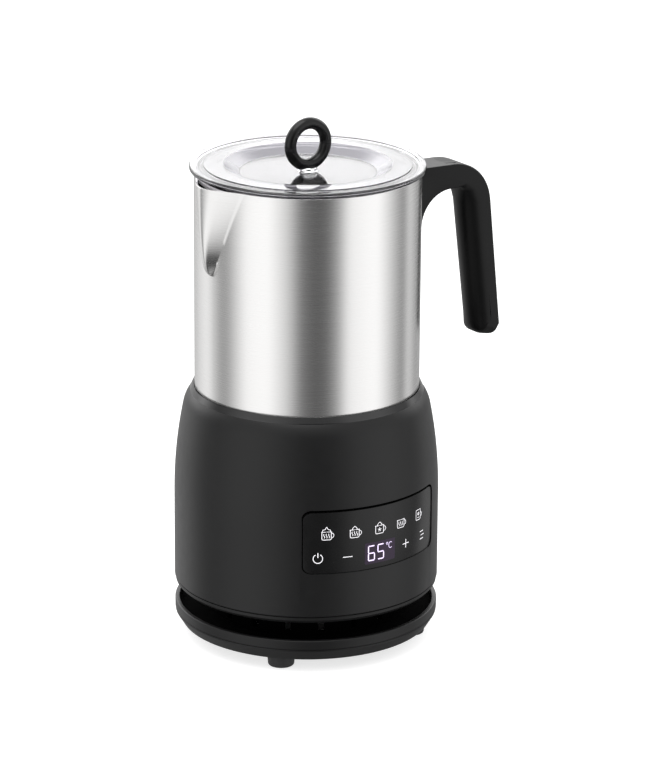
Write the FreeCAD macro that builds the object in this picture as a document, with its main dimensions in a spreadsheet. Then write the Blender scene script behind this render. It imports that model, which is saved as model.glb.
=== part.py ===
import FreeCAD, Part
import Sketcher
import math
import os

from FreeCAD import Placement, Rotation, Vector

# Milk frother: a lidded steel jug with a D-shaped handle that stands in the heated well of a round base.
# Millimetres, +Z up. z = 0 is the underside of the feet and the origin lies on the jug's axis.
# The control panel faces -Y, the handle points to +X and the spout to -X.

doc = FreeCAD.newDocument("milk_frother")
sheet = doc.addObject("Spreadsheet::Sheet", "Sizes")
nodes = {}
sheet_rows = []


# ---------------------------------------------------------------- sizes and formulas

class Size:
    """A length that carries both its number and the spreadsheet formula it comes from."""

    def __init__(self, number, formula):
        self.number = number
        self.formula = formula

    def __add__(self, other):
        return joined(self, "+", other, self.number + number_of(other))

    def __radd__(self, other):
        return joined(other, "+", self, number_of(other) + self.number)

    def __sub__(self, other):
        return joined(self, "-", other, self.number - number_of(other))

    def __rsub__(self, other):
        return joined(other, "-", self, number_of(other) - self.number)

    def __mul__(self, other):
        return joined(self, "*", other, self.number * number_of(other))

    def __rmul__(self, other):
        return joined(other, "*", self, number_of(other) * self.number)

    def __truediv__(self, other):
        return joined(self, "/", other, self.number / number_of(other))

    def __neg__(self):
        return joined(0, "-", self, -self.number)


def number_of(value):
    return value.number if isinstance(value, Size) else float(value)


def formula_of(value):
    if isinstance(value, Size):
        return value.formula
    if value < 0:
        return "(0 - %.9g)" % -value
    return "%.9g" % value


def joined(left, sign, right, number):
    return Size(number, "(%s %s %s)" % (formula_of(left), sign, formula_of(right)))


def root_of(value):
    return Size(math.sqrt(value.number), "sqrt(%s)" % value.formula)


def size(alias, number, note):
    """One driving dimension: a plain number in its own cell, with its alias."""
    sheet_rows.append(alias)
    row = len(sheet_rows)
    sheet.set("A%d" % row, note)
    sheet.set("B%d" % row, "%g" % number)
    sheet.setAlias("B%d" % row, alias)
    return Size(float(number), "Sizes." + alias)


# ---------------------------------------------------------------- features

def place(feature, x=0, y=0, z=0, turn=None):
    """Puts a feature at a place whose formulas stay live."""
    base = Vector(number_of(x), number_of(y), number_of(z))
    feature.Placement = Placement(base, turn or Rotation())
    for axis, value in (("x", x), ("y", y), ("z", z)):
        if isinstance(value, Size):
            feature.setExpression("Placement.Base." + axis, value.formula)
    return feature


def bind(feature, **values):
    for prop, value in values.items():
        setattr(feature, prop, number_of(value))
        if isinstance(value, Size):
            feature.setExpression(prop, value.formula)
    return feature


ALONG_X = Rotation(Vector(0, 1, 0), 90)
ALONG_Y = Rotation(Vector(1, 0, 0), -90)


def rod(name, radius, height, x=0, y=0, z=0, turn=None):
    return place(bind(doc.addObject("Part::Cylinder", name), Radius=radius, Height=height), x, y, z, turn)


def block(name, length, width, height, x=0, y=0, z=0, turn=None):
    """A box centred on x and y, with its underside at z."""
    feature = bind(doc.addObject("Part::Box", name), Length=length, Width=width, Height=height)
    if turn is None:
        return place(feature, x - length / 2, y - width / 2, z)
    return place(feature, x, y, z, turn)


def hoop(name, major, minor, z=0, turn=None):
    return place(bind(doc.addObject("Part::Torus", name), Radius1=major, Radius2=minor), 0, 0, z, turn)


def cut(name, base, tool):
    feature = doc.addObject("Part::Cut", name)
    feature.Base = base
    feature.Tool = tool
    return feature


def common(name, first, second):
    feature = doc.addObject("Part::Common", name)
    feature.Base = first
    feature.Tool = second
    return feature


def fuse(name, pieces):
    feature = doc.addObject("Part::MultiFuse", name)
    feature.Shapes = pieces
    return feature


def node(name, feature):
    """Names a finished sub-part."""
    feature.Label = name
    nodes[name] = feature
    return feature


def origin_plane(body, role):
    return [part for part in body.Origin.OriginFeatures if part.Role == role][0]


def arc_between(start, end, radius, side):
    """The short arc of a radius between two points; side is +1 where its centre lies to the left."""
    middle = (start + end) / 2
    run = end - start
    across = Vector(-run.y, run.x, 0).normalize()
    rise = math.sqrt(radius * radius - run.Length * run.Length / 4)
    centre = middle + across * rise * side
    angles = [math.atan2(point.y - centre.y, point.x - centre.x) for point in (start, end)]
    circle = Part.Circle(centre, Vector(0, 0, 1), radius)
    if side < 0:
        angles.reverse()
    if angles[1] < angles[0]:
        angles[1] += 2 * math.pi
    return Part.ArcOfCircle(circle, angles[0], angles[1])


def sketch_outline(body, name, role, outline, height=None):
    """A closed outline on one of the body's own planes, with every corner tied to the spreadsheet.

    A corner is (across, up), or (across, up, radius, side) where an arc leads to the next one.
    """
    sketch = body.newObject("Sketcher::SketchObject", name)
    sketch.AttachmentSupport = [(origin_plane(body, role), "")]
    sketch.MapMode = "FlatFace"
    if height is not None:
        sketch.AttachmentOffset = Placement(Vector(0, 0, number_of(height)), Rotation())
        if isinstance(height, Size):
            sketch.setExpression("AttachmentOffset.Base.z", height.formula)
    corners = [Vector(number_of(corner[0]), number_of(corner[1]), 0) for corner in outline]
    count = len(corners)
    ends = []
    for index, corner in enumerate(outline):
        start = corners[index]
        end = corners[(index + 1) % count]
        if len(corner) == 4:
            curve = sketch.addGeometry(arc_between(start, end, number_of(corner[2]), corner[3]), False)
            ends.append((1, 2) if corner[3] > 0 else (2, 1))
            limit = sketch.addConstraint(Sketcher.Constraint("Radius", curve, number_of(corner[2])))
            if isinstance(corner[2], Size):
                sketch.setExpression("Constraints[%d]" % limit, corner[2].formula)
        else:
            sketch.addGeometry(Part.LineSegment(start, end), False)
            ends.append((1, 2))
    for index in range(count):
        following = (index + 1) % count
        sketch.addConstraint(
            Sketcher.Constraint("Coincident", index, ends[index][1], following, ends[following][0]))
    for index, corner in enumerate(outline):
        for kind, axis, value in (("DistanceX", -2, corner[0]), ("DistanceY", -1, corner[1])):
            if isinstance(value, Size) or value != 0:
                limit = sketch.addConstraint(
                    Sketcher.Constraint(kind, -1, 1, index, ends[index][0], number_of(value)))
                if isinstance(value, Size):
                    sketch.setExpression("Constraints[%d]" % limit, value.formula)
            else:
                sketch.addConstraint(Sketcher.Constraint("PointOnObject", index, ends[index][0], axis))
    return sketch


def new_body(name):
    return doc.addObject("PartDesign::Body", name)


def turned(name, outline):
    """A body turned about Z from an outline of (radius, height) corners."""
    body = new_body(name)
    add_turning(body, name + "_turning", outline)
    return body


def add_turning(body, name, outline, kind="PartDesign::Revolution"):
    sketch = sketch_outline(body, name + "_outline", "XZ_Plane", outline)
    feature = body.newObject(kind, name)
    feature.Profile = sketch
    feature.ReferenceAxis = (sketch, ["V_Axis"])
    feature.Angle = 360
    return feature


def corner_edges(shape, direction):
    """The numbers of a shape's straight edges that run along a direction."""
    found = []
    for number, edge in enumerate(shape.Edges, 1):
        if isinstance(edge.Curve, Part.Line) and abs(edge.Curve.Direction.dot(direction)) > 0.999:
            found.append(number)
    return found


def rounded(name, box, radius, direction):
    """A box whose edges along one direction are rounded."""
    doc.recompute()
    feature = doc.addObject("Part::Fillet", name)
    feature.Base = box
    value = number_of(radius)
    feature.Edges = [(number, value, value) for number in corner_edges(box.Shape, direction)]
    return feature


def screws(name, places, head_z, head_height, shank_length, head_radius, shank_radius, up):
    """Upright screws in one node; up is True where the shank stands above the head."""
    pieces = []
    for number, (x, y) in enumerate(places):
        shank_z = head_z + head_height if up else head_z - shank_length
        head = rod("%s_head_%d" % (name, number), head_radius, head_height, x, y, head_z)
        shank = rod("%s_shank_%d" % (name, number), shank_radius, shank_length, x, y, shank_z)
        pieces += [head, shank]
    return fuse(name + "_all", pieces)


def around(radius, count, first=0.0):
    """Places spaced evenly on a circle, as (x, y, angle in degrees)."""
    spots = []
    for number in range(count):
        angle = first + 360.0 * number / count
        spots.append((radius * math.cos(math.radians(angle)), radius * math.sin(math.radians(angle)), angle))
    return spots


def four_corners(x, y):
    return [(x * right, y * back) for right in (1, -1) for back in (1, -1)]


# ---------------------------------------------------------------- driving dimensions

close_fit = size("close_fit", 0.05, "radial play of a pin or screw in its hole")
joint_gap = size("joint_gap", 0.15, "gap between two fixed covers")
slide_gap = size("slide_gap", 0.3, "gap between the jug, lid or sensor and what guides it")

jug_radius = size("jug_radius", 55.2, "outside of the jug")
jug_wall = size("jug_wall", 1.0, "jug sheet")
jug_height = size("jug_height", 119.9, "jug shell, from its bottom to its rim")
jug_disc_height = size("jug_disc_height", 2.0, "encapsulated plate under the jug")
jug_disc_inset = size("jug_disc_inset", 4.2, "plate's edge inside the jug's wall")
spout_drop = size("spout_drop", 45.0, "rim to the foot of the spout")
spout_reach = size("spout_reach", 6.6, "tip of the spout outside the jug's wall")
spout_half_width = size("spout_half_width", 20.0, "half the width of the spout at the rim")

liner_wall = size("liner_wall", 1.0, "well liner's wall")
liner_floor = size("liner_floor", 2.0, "well liner's floor")
liner_lip_rise = size("liner_lip_rise", 3.1, "liner's lip above the housing's rim")
well_depth = size("well_depth", 11.3, "housing's rim to the platform")
platform_height = size("platform_height", 2.5, "heated platform")
platform_inset = size("platform_inset", 5.5, "platform's edge inside the jug's wall")

liner_lip_start = size("liner_lip_start", 0.4, "upright edge at the foot of the liner's lip")
liner_lip_width = size("liner_lip_width", 0.7, "top of the liner's lip")
liner_lip_bevel = size("liner_lip_bevel", 0.5, "bevel inside the liner's lip")
platform_bevel = size("platform_bevel", 0.5, "edge of the heated platform")

rim_land = size("rim_land", 0.8, "width of the housing's rim outside the liner")
crown_set = size("crown_set", 3.34, "housing's crown, across")
crown_rise = size("crown_rise", 7.0, "housing's crown, upwards")
shoulder_rise = size("shoulder_rise", 44.8, "height of the curved shoulder")
shoulder_arc = size("shoulder_arc", 225.0, "radius of the curved shoulder")
straight_height = size("straight_height", 43.8, "upright part of the housing")
body_wall = size("body_wall", 2.5, "housing wall")

rim_undercut = size("rim_undercut", 1.0, "inside of the crown below its start")

seam_gap = size("seam_gap", 0.4, "shadow line between the housing and the chassis plate")
plate_height = size("plate_height", 3.0, "chassis plate")
plate_inset = size("plate_inset", 0.5, "chassis plate's edge inside the housing's")
plate_bevel = size("plate_bevel", 1.6, "bevel under the chassis plate")
plate_ledge = size("plate_ledge", 0.6, "ledge behind the shadow line")
seat_sheet = size("seat_sheet", 2.0, "raised seat inside the housing, high and wide")
duct_lip = size("duct_lip", 1.5, "chassis plate's air hole inside the fan's duct")
vent_gap = size("vent_gap", 8.9, "open slot between the base ring and the chassis plate")
vent_inset = size("vent_inset", 17.1, "neck's wall inside the housing's")
vent_slots = 18
VENT_FIRST = 5.0  # degrees, first slot from the +X axis
slot_width = size("slot_width", 3.4, "air slot in the neck")
slot_margin = size("slot_margin", 1.2, "neck left above and below its slots")
neck_wall = size("neck_wall", 2.0, "neck wall")

ring_inset = size("ring_inset", 0.2, "base ring's edge inside the housing's")
ring_height = size("ring_height", 4.9, "base ring")
ring_lip = size("ring_lip", 2.3, "width of the base ring's lip")
ring_bevel = size("ring_bevel", 0.7, "bevel on the lip's outer edge")
ring_floor = size("ring_floor", 2.0, "base ring's floor")
pan_height = size("pan_height", 5.9, "base pan")
pan_draft = size("pan_draft", 3.2, "taper of the base pan")
pan_edge = size("pan_edge", 0.8, "upright upper edge of the base pan")
pan_sheet = size("pan_sheet", 2.0, "base pan's floor and wall")

foot_height = size("foot_height", 6.3, "rubber foot")
foot_radius = size("foot_radius", 6.9, "rubber foot")
foot_recess = size("foot_recess", 1.4, "screw head up inside the foot")
foot_side_inset = size("foot_side_inset", 26.1, "feet, to each side, inside the base ring's edge")
foot_front_inset = size("foot_front_inset", 29.1, "feet, to the front and back, inside the same edge")

screw_radius = size("screw_radius", 1.5, "chassis, foot, fan and carrier screws")
screw_head_radius = size("screw_head_radius", 2.9, "their heads")
screw_head_height = size("screw_head_height", 1.8, "their heads")
pillar_radius = size("pillar_radius", 4.0, "screw pillars")
pillar_inset = size("pillar_inset", 10.2, "pillars' and chassis screws' axes inside the neck's wall")
chassis_screw_grip = size("chassis_screw_grip", 9.0, "chassis screws' length inside the pillars")

gland_width = size("gland_width", 13.0, "cable gland")
gland_bore = size("gland_bore", 3.5, "radius of the cable's hole")
gland_stand = size("gland_stand", 2.4, "gland outside the base ring")
gland_round = size("gland_round", 1.5, "cable gland's upright edges")
gland_depth = size("gland_depth", 11.5, "gland from front to back")

window_half_width = size("window_half_width", 38.5, "half the panel window, straight across")
window_rise = size("window_rise", 10.8, "window's upper edge above the start of the shoulder")
window_height = size("window_height", 32.5, "panel window")
window_corner = size("window_corner", 4.0, "panel window's corners")
panel_recess = size("panel_recess", 0.8, "panel face inside the housing's surface")
panel_flange = size("panel_flange", 2.0, "panel's flange behind the wall, thick and wide")
panel_lap = size("panel_lap", 0.5, "panel's plate set into its flange")
display_width = size("display_width", 22.0, "display module")
display_height = size("display_height", 13.0, "display module")
display_low = size("display_low", 1.8, "display module above the window's lower edge")
display_depth = size("display_depth", 8.0, "display module, front to back")
board_sheet = size("board_sheet", 1.6, "circuit boards")
touch_boss_radius = size("touch_boss_radius", 3.0, "touch board's bosses")
touch_boss_length = size("touch_boss_length", 5.5, "touch board's bosses")
touch_boss_gap = size("touch_boss_gap", 4.0, "flange's back to the touch board, at the bosses")
touch_board_margin = size("touch_board_margin", 4.0, "touch board past its bosses' axes")
touch_boss_x = size("touch_boss_x", 30.0, "touch board's bosses, to each side")

coil_height = size("coil_height", 3.0, "induction coil")
coil_hole = size("coil_hole", 20.0, "inner radius of the coil")
coil_inset = size("coil_inset", 11.2, "coil's edge inside the jug's wall")
carrier_lip = size("carrier_lip", 2.0, "carrier's hole inside the coil's")
carrier_height = size("carrier_height", 2.5, "coil carrier")
carrier_inset = size("carrier_inset", 1.4, "carrier's edge inside the jug's wall")
carrier_screw_inset = size("carrier_screw_inset", 5.2, "carrier screws inside the jug's wall")
screw_end_gap = size("screw_end_gap", 0.5, "end of a carrier screw below the liner")
ferrite_start = size("ferrite_start", 1.5, "ferrite bars outside the coil's hole")
ferrite_length = size("ferrite_length", 20.0, "ferrite bar")
ferrite_width = size("ferrite_width", 5.0, "ferrite bar")
ferrite_height = size("ferrite_height", 3.0, "ferrite bar")

bracket_drop = size("bracket_drop", 9.2, "motor bracket below the coil carrier")
bracket_sheet = size("bracket_sheet", 2.5, "motor bracket")
bracket_radius = size("bracket_radius", 31.0, "motor bracket")
bracket_hole = size("bracket_hole", 6.0, "radius of the hole for the motor's nose")
column_radius = size("column_radius", 3.5, "motor bracket's columns")
column_place = size("column_place", 26.0, "columns from the axis")
motor_radius = size("motor_radius", 16.0, "motor")
motor_height = size("motor_height", 30.0, "motor")
motor_screw_place = size("motor_screw_place", 10.5, "motor screws from the axis")
motor_screw_radius = size("motor_screw_radius", 1.2, "motor screws")
motor_screw_head_radius = size("motor_screw_head_radius", 2.4, "their heads")
motor_screw_head_height = size("motor_screw_head_height", 1.5, "their heads")
motor_screw_depth = size("motor_screw_depth", 5.0, "motor screws inside the motor")
drill_run = size("drill_run", 1.0, "hole past the end of a shaft or screw in the motor")
shaft_radius = size("shaft_radius", 2.0, "motor shaft")
shaft_depth = size("shaft_depth", 25.0, "shaft inside the motor")
hub_radius = size("hub_radius", 15.0, "magnet hub on the motor shaft")
hub_air = size("hub_air", 1.2, "free height above the magnet hub")
hub_height = size("hub_height", 8.0, "magnet hub")
hub_cap = size("hub_cap", 1.0, "hub above the shaft's end")
shaft_end_gap = size("shaft_end_gap", 0.1, "play above the shaft's end")
magnet_radius = size("magnet_radius", 3.0, "drive magnets")
magnet_height = size("magnet_height", 3.0, "drive magnets")
magnet_place = size("magnet_place", 10.0, "drive magnets from the axis")

sensor_radius = size("sensor_radius", 6.0, "temperature sensor's cap")
sensor_bevel = size("sensor_bevel", 0.4, "edge of the sensor's cap")
spring_set = size("spring_set", 1.6, "sensor's spring inside the cap's edge")
spring_sheet = size("spring_sheet", 1.4, "width of the sensor's spring")
sensor_height = size("sensor_height", 2.5, "temperature sensor's cap")
sensor_room = size("sensor_room", 2.5, "spring's height under the cap")
sensor_web = size("sensor_web", 1.5, "liner under the sensor's spring")

fan_width = size("fan_width", 50.0, "cooling fan's frame")
fan_height = size("fan_height", 10.0, "cooling fan's frame")
fan_bore = size("fan_bore", 23.5, "radius of the fan's duct")
fan_tip_gap = size("fan_tip_gap", 1.0, "blade tip to duct")
fan_hub_radius = size("fan_hub_radius", 9.0, "fan's hub")
fan_round = size("fan_round", 3.0, "corners of the fan's frame")
fan_spider_height = size("fan_spider_height", 2.0, "fan's cup and struts")
fan_strut = size("fan_strut", 3.0, "width of a strut")
fan_lap = size("fan_lap", 0.5, "strut let into the frame")
fan_cup_inset = size("fan_cup_inset", 1.0, "fan's cup inside its hub")
fan_blade_rise = size("fan_blade_rise", 3.0, "impeller above the chassis plate")
fan_blade_drop = size("fan_blade_drop", 1.0, "impeller below the frame's top")
fan_blade_chord = size("fan_blade_chord", 7.0, "blade")
fan_blade_sheet = size("fan_blade_sheet", 1.2, "blade")
fan_blade_root = size("fan_blade_root", 2.0, "blade let into the hub")
fan_tip_curve = size("fan_tip_curve", 0.5, "blade's tip short of the duct's gap")
fan_axle_rise = size("fan_axle_rise", 0.5, "axle's end above the chassis plate")
fan_axle_length = size("fan_axle_length", 2.6, "fan's axle")
fan_screw_place = size("fan_screw_place", 21.0, "fan screws from the axis, each way")
fan_axle_radius = size("fan_axle_radius", 1.0, "fan's axle")
fan_blades = 7
FAN_PITCH = 32.0  # degrees

board_standoff = size("board_standoff", 15.0, "power board above the chassis plate")
board_inset = size("board_inset", 12.6, "power board's edge inside the housing's wall")
board_post_inset = size("board_post_inset", 19.2, "board posts, each way, inside the board's edge")
board_post_radius = size("board_post_radius", 3.0, "board posts")
board_hole = size("board_hole", 20.0, "air hole in the power board")
capacitor_radius = size("capacitor_radius", 6.0, "capacitor")
capacitor_height = size("capacitor_height", 18.0, "capacitor")
capacitor_inset = size("capacitor_inset", 12.2, "capacitors' axes inside the board's edge")
sink_height = size("sink_height", 20.0, "heat sink")
sink_inset = size("sink_inset", 17.2, "heat sink's middle inside the board's edge")
sink_depth = size("sink_depth", 14.0, "heat sink, from the axis outwards")
sink_width = size("sink_width", 24.0, "heat sink, across")
sink_sheet = size("sink_sheet", 3.0, "heat sink's base")
sink_fin = size("sink_fin", 1.6, "heat sink's fins")
sink_pitch = size("sink_pitch", 5.5, "between the fins")
sink_fins = 5
CAPACITOR_ANGLES = (60.0, 90.0, 120.0)

bracket_pad = size("bracket_pad", 3.3, "steel handle bracket outside the jug's wall")
bracket_half_width = size("bracket_half_width", 10.0, "half the bracket's width")
bracket_top_drop = size("bracket_top_drop", 8.0, "bracket's top below the jug's rim")
root_sheet = size("root_sheet", 3.5, "handle's root against the bracket")
root_length = size("root_length", 59.6, "handle's root, upwards")
handle_width = size("handle_width", 18.0, "handle's width")
handle_round = size("handle_round", 3.0, "handle's rounded edges")
handle_drop = size("handle_drop", 6.4, "top of the handle below the jug's rim")
arm_reach = size("arm_reach", 23.5, "straight top of the arm")
arm_slope = size("arm_slope", 0.7, "fall of the arm's top")
elbow_arc = size("elbow_arc", 24.0, "radius of the outer elbow")
grip_length = size("grip_length", 65.5, "grip's outer face, down")
grip_lean = size("grip_lean", 7.0, "lean of the grip's outer face")
grip_tip = size("grip_tip", 6.0, "rounding at the grip's lower end")
grip_depth = size("grip_depth", 23.8, "grip's lower end, front to back")
arch_radius = size("arch_radius", 17.5, "arch under the arm")
arch_drop = size("arch_drop", 12.9, "top of the arch below the top of the handle")
grip_inner_lean = size("grip_inner_lean", 8.8, "lean of the grip's inner face")
inner_edge_drop = size("inner_edge_drop", 70.6, "grip's inner face, down")
cap_length = size("cap_length", 24.0, "inlay on top of the arm")
cap_width = size("cap_width", 12.0, "inlay on top of the arm")
cap_sheet = size("cap_sheet", 1.6, "inlay's thickness")
handle_screw_low = size("handle_screw_low", 9.0, "lower handle screw above the root's end")
handle_screw_pitch = size("handle_screw_pitch", 15.0, "between the handle screws")

spindle_radius = size("spindle_radius", 2.5, "whisk spindle")
spindle_height = size("spindle_height", 17.0, "whisk spindle above the jug's floor")
spindle_foot_radius = size("spindle_foot_radius", 7.0, "spindle's foot")
spindle_foot_height = size("spindle_foot_height", 1.2, "spindle's foot")
whisk_radius = size("whisk_radius", 17.0, "middle of the whisk's coil")
whisk_wire_ring = size("whisk_wire_ring", 2.8, "radius of the whisk's coil")
whisk_lift = size("whisk_lift", 4.6, "whisk's coil above the hub's underside")
whisk_seat_low = size("whisk_seat_low", 1.0, "groove's lower edge inside the coil's middle")
whisk_seat_high = size("whisk_seat_high", 2.6, "groove's upper edge inside the coil's middle")
whisk_hub_height = size("whisk_hub_height", 11.0, "whisk hub")
whisk_hub_radius = size("whisk_hub_radius", 7.5, "whisk hub")
whisk_magnet_radius = size("whisk_magnet_radius", 2.2, "magnets in the whisk's foot")

lid_overhang = size("lid_overhang", 2.2, "lid's edge outside the jug's wall")
lid_edge = size("lid_edge", 2.4, "thickness of the lid's edge")
lid_bead = size("lid_bead", 1.0, "bead that the lid rests on")
lid_sheet = size("lid_sheet", 2.0, "lid's thickness")
lid_dish = size("lid_dish", 4.0, "depth of the lid's dish")
lid_step = size("lid_step", 0.5, "small steps in the lid's top")
dish_outer = size("dish_outer", 40.7, "radius where the dish begins")
dish_inner = size("dish_inner", 33.6, "radius where the dish is flat")
step_outer = size("step_outer", 3.3, "first step inside the lid's edge")
step_inner = size("step_inner", 6.8, "second step inside the lid's edge")
skirt_depth = size("skirt_depth", 6.0, "lid's skirt below the rim")
skirt_sheet = size("skirt_sheet", 1.8, "lid's skirt")
seal_stand = size("seal_stand", 1.0, "seal outside the skirt")
seal_height = size("seal_height", 2.2, "seal")

knob_major = size("knob_major", 10.2, "knob ring, to the middle of its section")
knob_minor = size("knob_minor", 2.9, "radius of the knob ring's section")
knob_stand = size("knob_stand", 0.4, "knob ring above the lid's dish")
collar_radius = size("collar_radius", 4.2, "knob's collar")
collar_height = size("collar_height", 2.2, "knob's collar")
knob_screw_radius = size("knob_screw_radius", 1.4, "knob's screw")
washer_radius = size("washer_radius", 5.0, "washer under the lid")
washer_height = size("washer_height", 1.0, "washer under the lid")

# ---------------------------------------------------------------- derived places

screw_hole = screw_radius + close_fit
rim_inner = jug_radius + slide_gap + liner_wall + joint_gap
rim_outer = rim_inner + rim_land
crown_radius = rim_outer + crown_set
shoulder_drop = shoulder_arc - root_of(shoulder_arc * shoulder_arc - shoulder_rise * shoulder_rise)
body_radius = crown_radius + shoulder_drop
# The crown's arc starts in line with the end of the shoulder's.
crown_bulge = (crown_set * (shoulder_arc - shoulder_drop) - crown_rise * shoulder_rise) / shoulder_arc
crown_arc = (crown_set * crown_set + crown_rise * crown_rise) / (2 * crown_bulge)
body_inner = body_radius - body_wall
ring_radius = body_radius - ring_inset
neck_radius = body_radius - vent_inset
plate_radius = body_radius - plate_inset

board_radius = body_inner - board_inset
foot_x = ring_radius - foot_side_inset
foot_y = ring_radius - foot_front_inset
pillar_place = neck_radius - pillar_inset
board_post_place = board_radius - board_post_inset
capacitor_place = board_radius - capacitor_inset
sink_place = board_radius - sink_inset

pan_z = foot_height
pan_floor_z = pan_z + pan_sheet
ring_z = pan_z + pan_height
lip_z = ring_z + ring_height
plate_z = lip_z + vent_gap
deck_z = plate_z + plate_height
shell_z = deck_z + seam_gap
shoulder_z = shell_z + straight_height
crown_z = shoulder_z + shoulder_rise
rim_z = crown_z + crown_rise

window_z = shoulder_z + window_rise - window_height
jug_z = rim_z - well_depth
well_floor_z = jug_z - platform_height
liner_z = well_floor_z - liner_floor
sensor_z = jug_z - sensor_height
spring_z = sensor_z - sensor_room
sensor_cup_z = spring_z - sensor_web
coil_z = liner_z - coil_height
carrier_z = coil_z - carrier_height
bracket_top_z = carrier_z - bracket_drop
motor_top_z = bracket_top_z - bracket_sheet
hub_z = sensor_cup_z - hub_air - hub_height
board_z = deck_z + board_standoff
board_top_z = board_z + board_sheet

jug_shell_z = jug_z + jug_disc_height
jug_floor_z = jug_shell_z + jug_wall
jug_rim_z = jug_shell_z + jug_height
jug_inner = jug_radius - jug_wall
handle_top_z = jug_rim_z - handle_drop
lid_radius = jug_radius + lid_overhang
lid_under_z = jug_rim_z + lid_bead
lid_top_z = lid_under_z + lid_edge
dish_z = lid_top_z - lid_dish


# ---------------------------------------------------------------- base: feet, pan, ring and neck

def make_feet():
    places = four_corners(foot_x, foot_y)
    recess = screw_head_height + foot_recess
    pads = []
    for number, (x, y) in enumerate(places):
        pad = rod("foot_pad_%d" % number, foot_radius, foot_height, x, y)
        hole = rod("foot_hole_%d" % number, screw_hole, foot_height, x, y)
        well = rod("foot_well_%d" % number, screw_head_radius + joint_gap, recess, x, y)
        pads.append(cut("foot_%d" % number, pad, fuse("foot_bore_%d" % number, [hole, well])))
    node("rubber_feet", fuse("feet", pads))
    head_z = recess - screw_head_height
    length = ring_z - joint_gap - recess
    node("foot_screws", screws("foot_screw", places, head_z, screw_head_height, length,
                               screw_head_radius, screw_radius, True))


def make_pan():
    """Tapered tray with a boss over each foot and four pillars that carry the chassis plate."""
    outer = ring_radius - joint_gap
    shell = turned("pan_shell", [
        (0, pan_z), (outer - pan_draft, pan_z), (outer, ring_z - pan_edge), (outer, ring_z),
        (outer - pan_sheet, ring_z), (outer - pan_sheet, ring_z - pan_edge),
        (outer - pan_draft - pan_sheet, pan_floor_z), (0, pan_floor_z)])
    pieces = [shell]
    holes = []
    for number, (x, y) in enumerate(four_corners(foot_x, foot_y)):
        boss_height = ring_z - joint_gap - pan_floor_z
        pieces.append(rod("foot_boss_%d" % number, pillar_radius, boss_height, x, y, pan_floor_z))
        holes.append(rod("foot_boss_hole_%d" % number, screw_hole, pan_height, x, y, pan_z))
    for number, (x, y, angle) in enumerate(around(pillar_place, 4)):
        pieces.append(rod("pillar_%d" % number, pillar_radius, plate_z - pan_floor_z, x, y, pan_floor_z))
        holes.append(rod("pillar_hole_%d" % number, screw_hole, plate_z - pan_floor_z, x, y, pan_floor_z))
    holes.append(block("pan_notch", gland_width + 2 * joint_gap, gland_depth + gland_stand, pan_height,
                       0, body_radius - gland_depth / 2 + gland_stand, pan_floor_z))
    node("base_pan", cut("pan", fuse("pan_solid", pieces), fuse("pan_holes", holes)))


def make_ring():
    """Ring with a raised lip, whose floor closes the pan around the neck."""
    ring = turned("ring_turned", [
        (ring_radius, ring_z), (ring_radius, lip_z - ring_bevel), (ring_radius - ring_bevel, lip_z),
        (ring_radius - ring_lip, lip_z), (ring_radius - ring_lip, ring_z + ring_floor),
        (neck_radius + slide_gap, ring_z + ring_floor), (neck_radius + slide_gap, ring_z)])
    notch = block("ring_notch", gland_width + 2 * joint_gap, gland_depth + gland_stand, ring_height,
                  0, body_radius - gland_depth / 2 + gland_stand, ring_z)
    node("base_ring", cut("ring", ring, notch))


def make_gland():
    """Rubber block at the back, with the cable's hole through it."""
    height = lip_z - pan_floor_z
    start = ring_radius + gland_stand - gland_depth
    body = block("gland_block", gland_width, gland_depth, height, 0, start + gland_depth / 2, pan_floor_z)
    body = rounded("gland_rounded", body, gland_round, Vector(0, 0, 1))
    hole = rod("gland_hole", gland_bore, gland_depth, 0, start, pan_floor_z + height / 2, ALONG_Y)
    node("cord_gland", cut("gland", body, hole))


def make_neck():
    """Slotted tube that draws cooling air in under the housing."""
    height = plate_z - pan_floor_z
    wall = turned("neck_wall_turned", [
        (neck_radius - neck_wall, pan_floor_z), (neck_radius, pan_floor_z),
        (neck_radius, plate_z), (neck_radius - neck_wall, plate_z)])
    slot_z = ring_z + ring_floor + slot_margin
    reach = neck_radius + neck_wall
    slots = []
    # Each cutter goes right across the neck, so half as many make all the slots.
    for number, (x, y, angle) in enumerate(around(reach, vent_slots, VENT_FIRST)[:vent_slots // 2]):
        turn = math.radians(angle)
        slot = bind(doc.addObject("Part::Box", "neck_slot_%d" % number), Width=slot_width,
                    Height=plate_z - slot_margin - slot_z, Length=2 * reach)
        slots.append(place(slot, slot_width * (math.sin(turn) / 2) - x, -(slot_width * (math.cos(turn) / 2)) - y,
                           slot_z, Rotation(Vector(0, 0, 1), angle)))
    node("vent_neck", cut("neck", wall, fuse("neck_slots", slots)))


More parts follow.
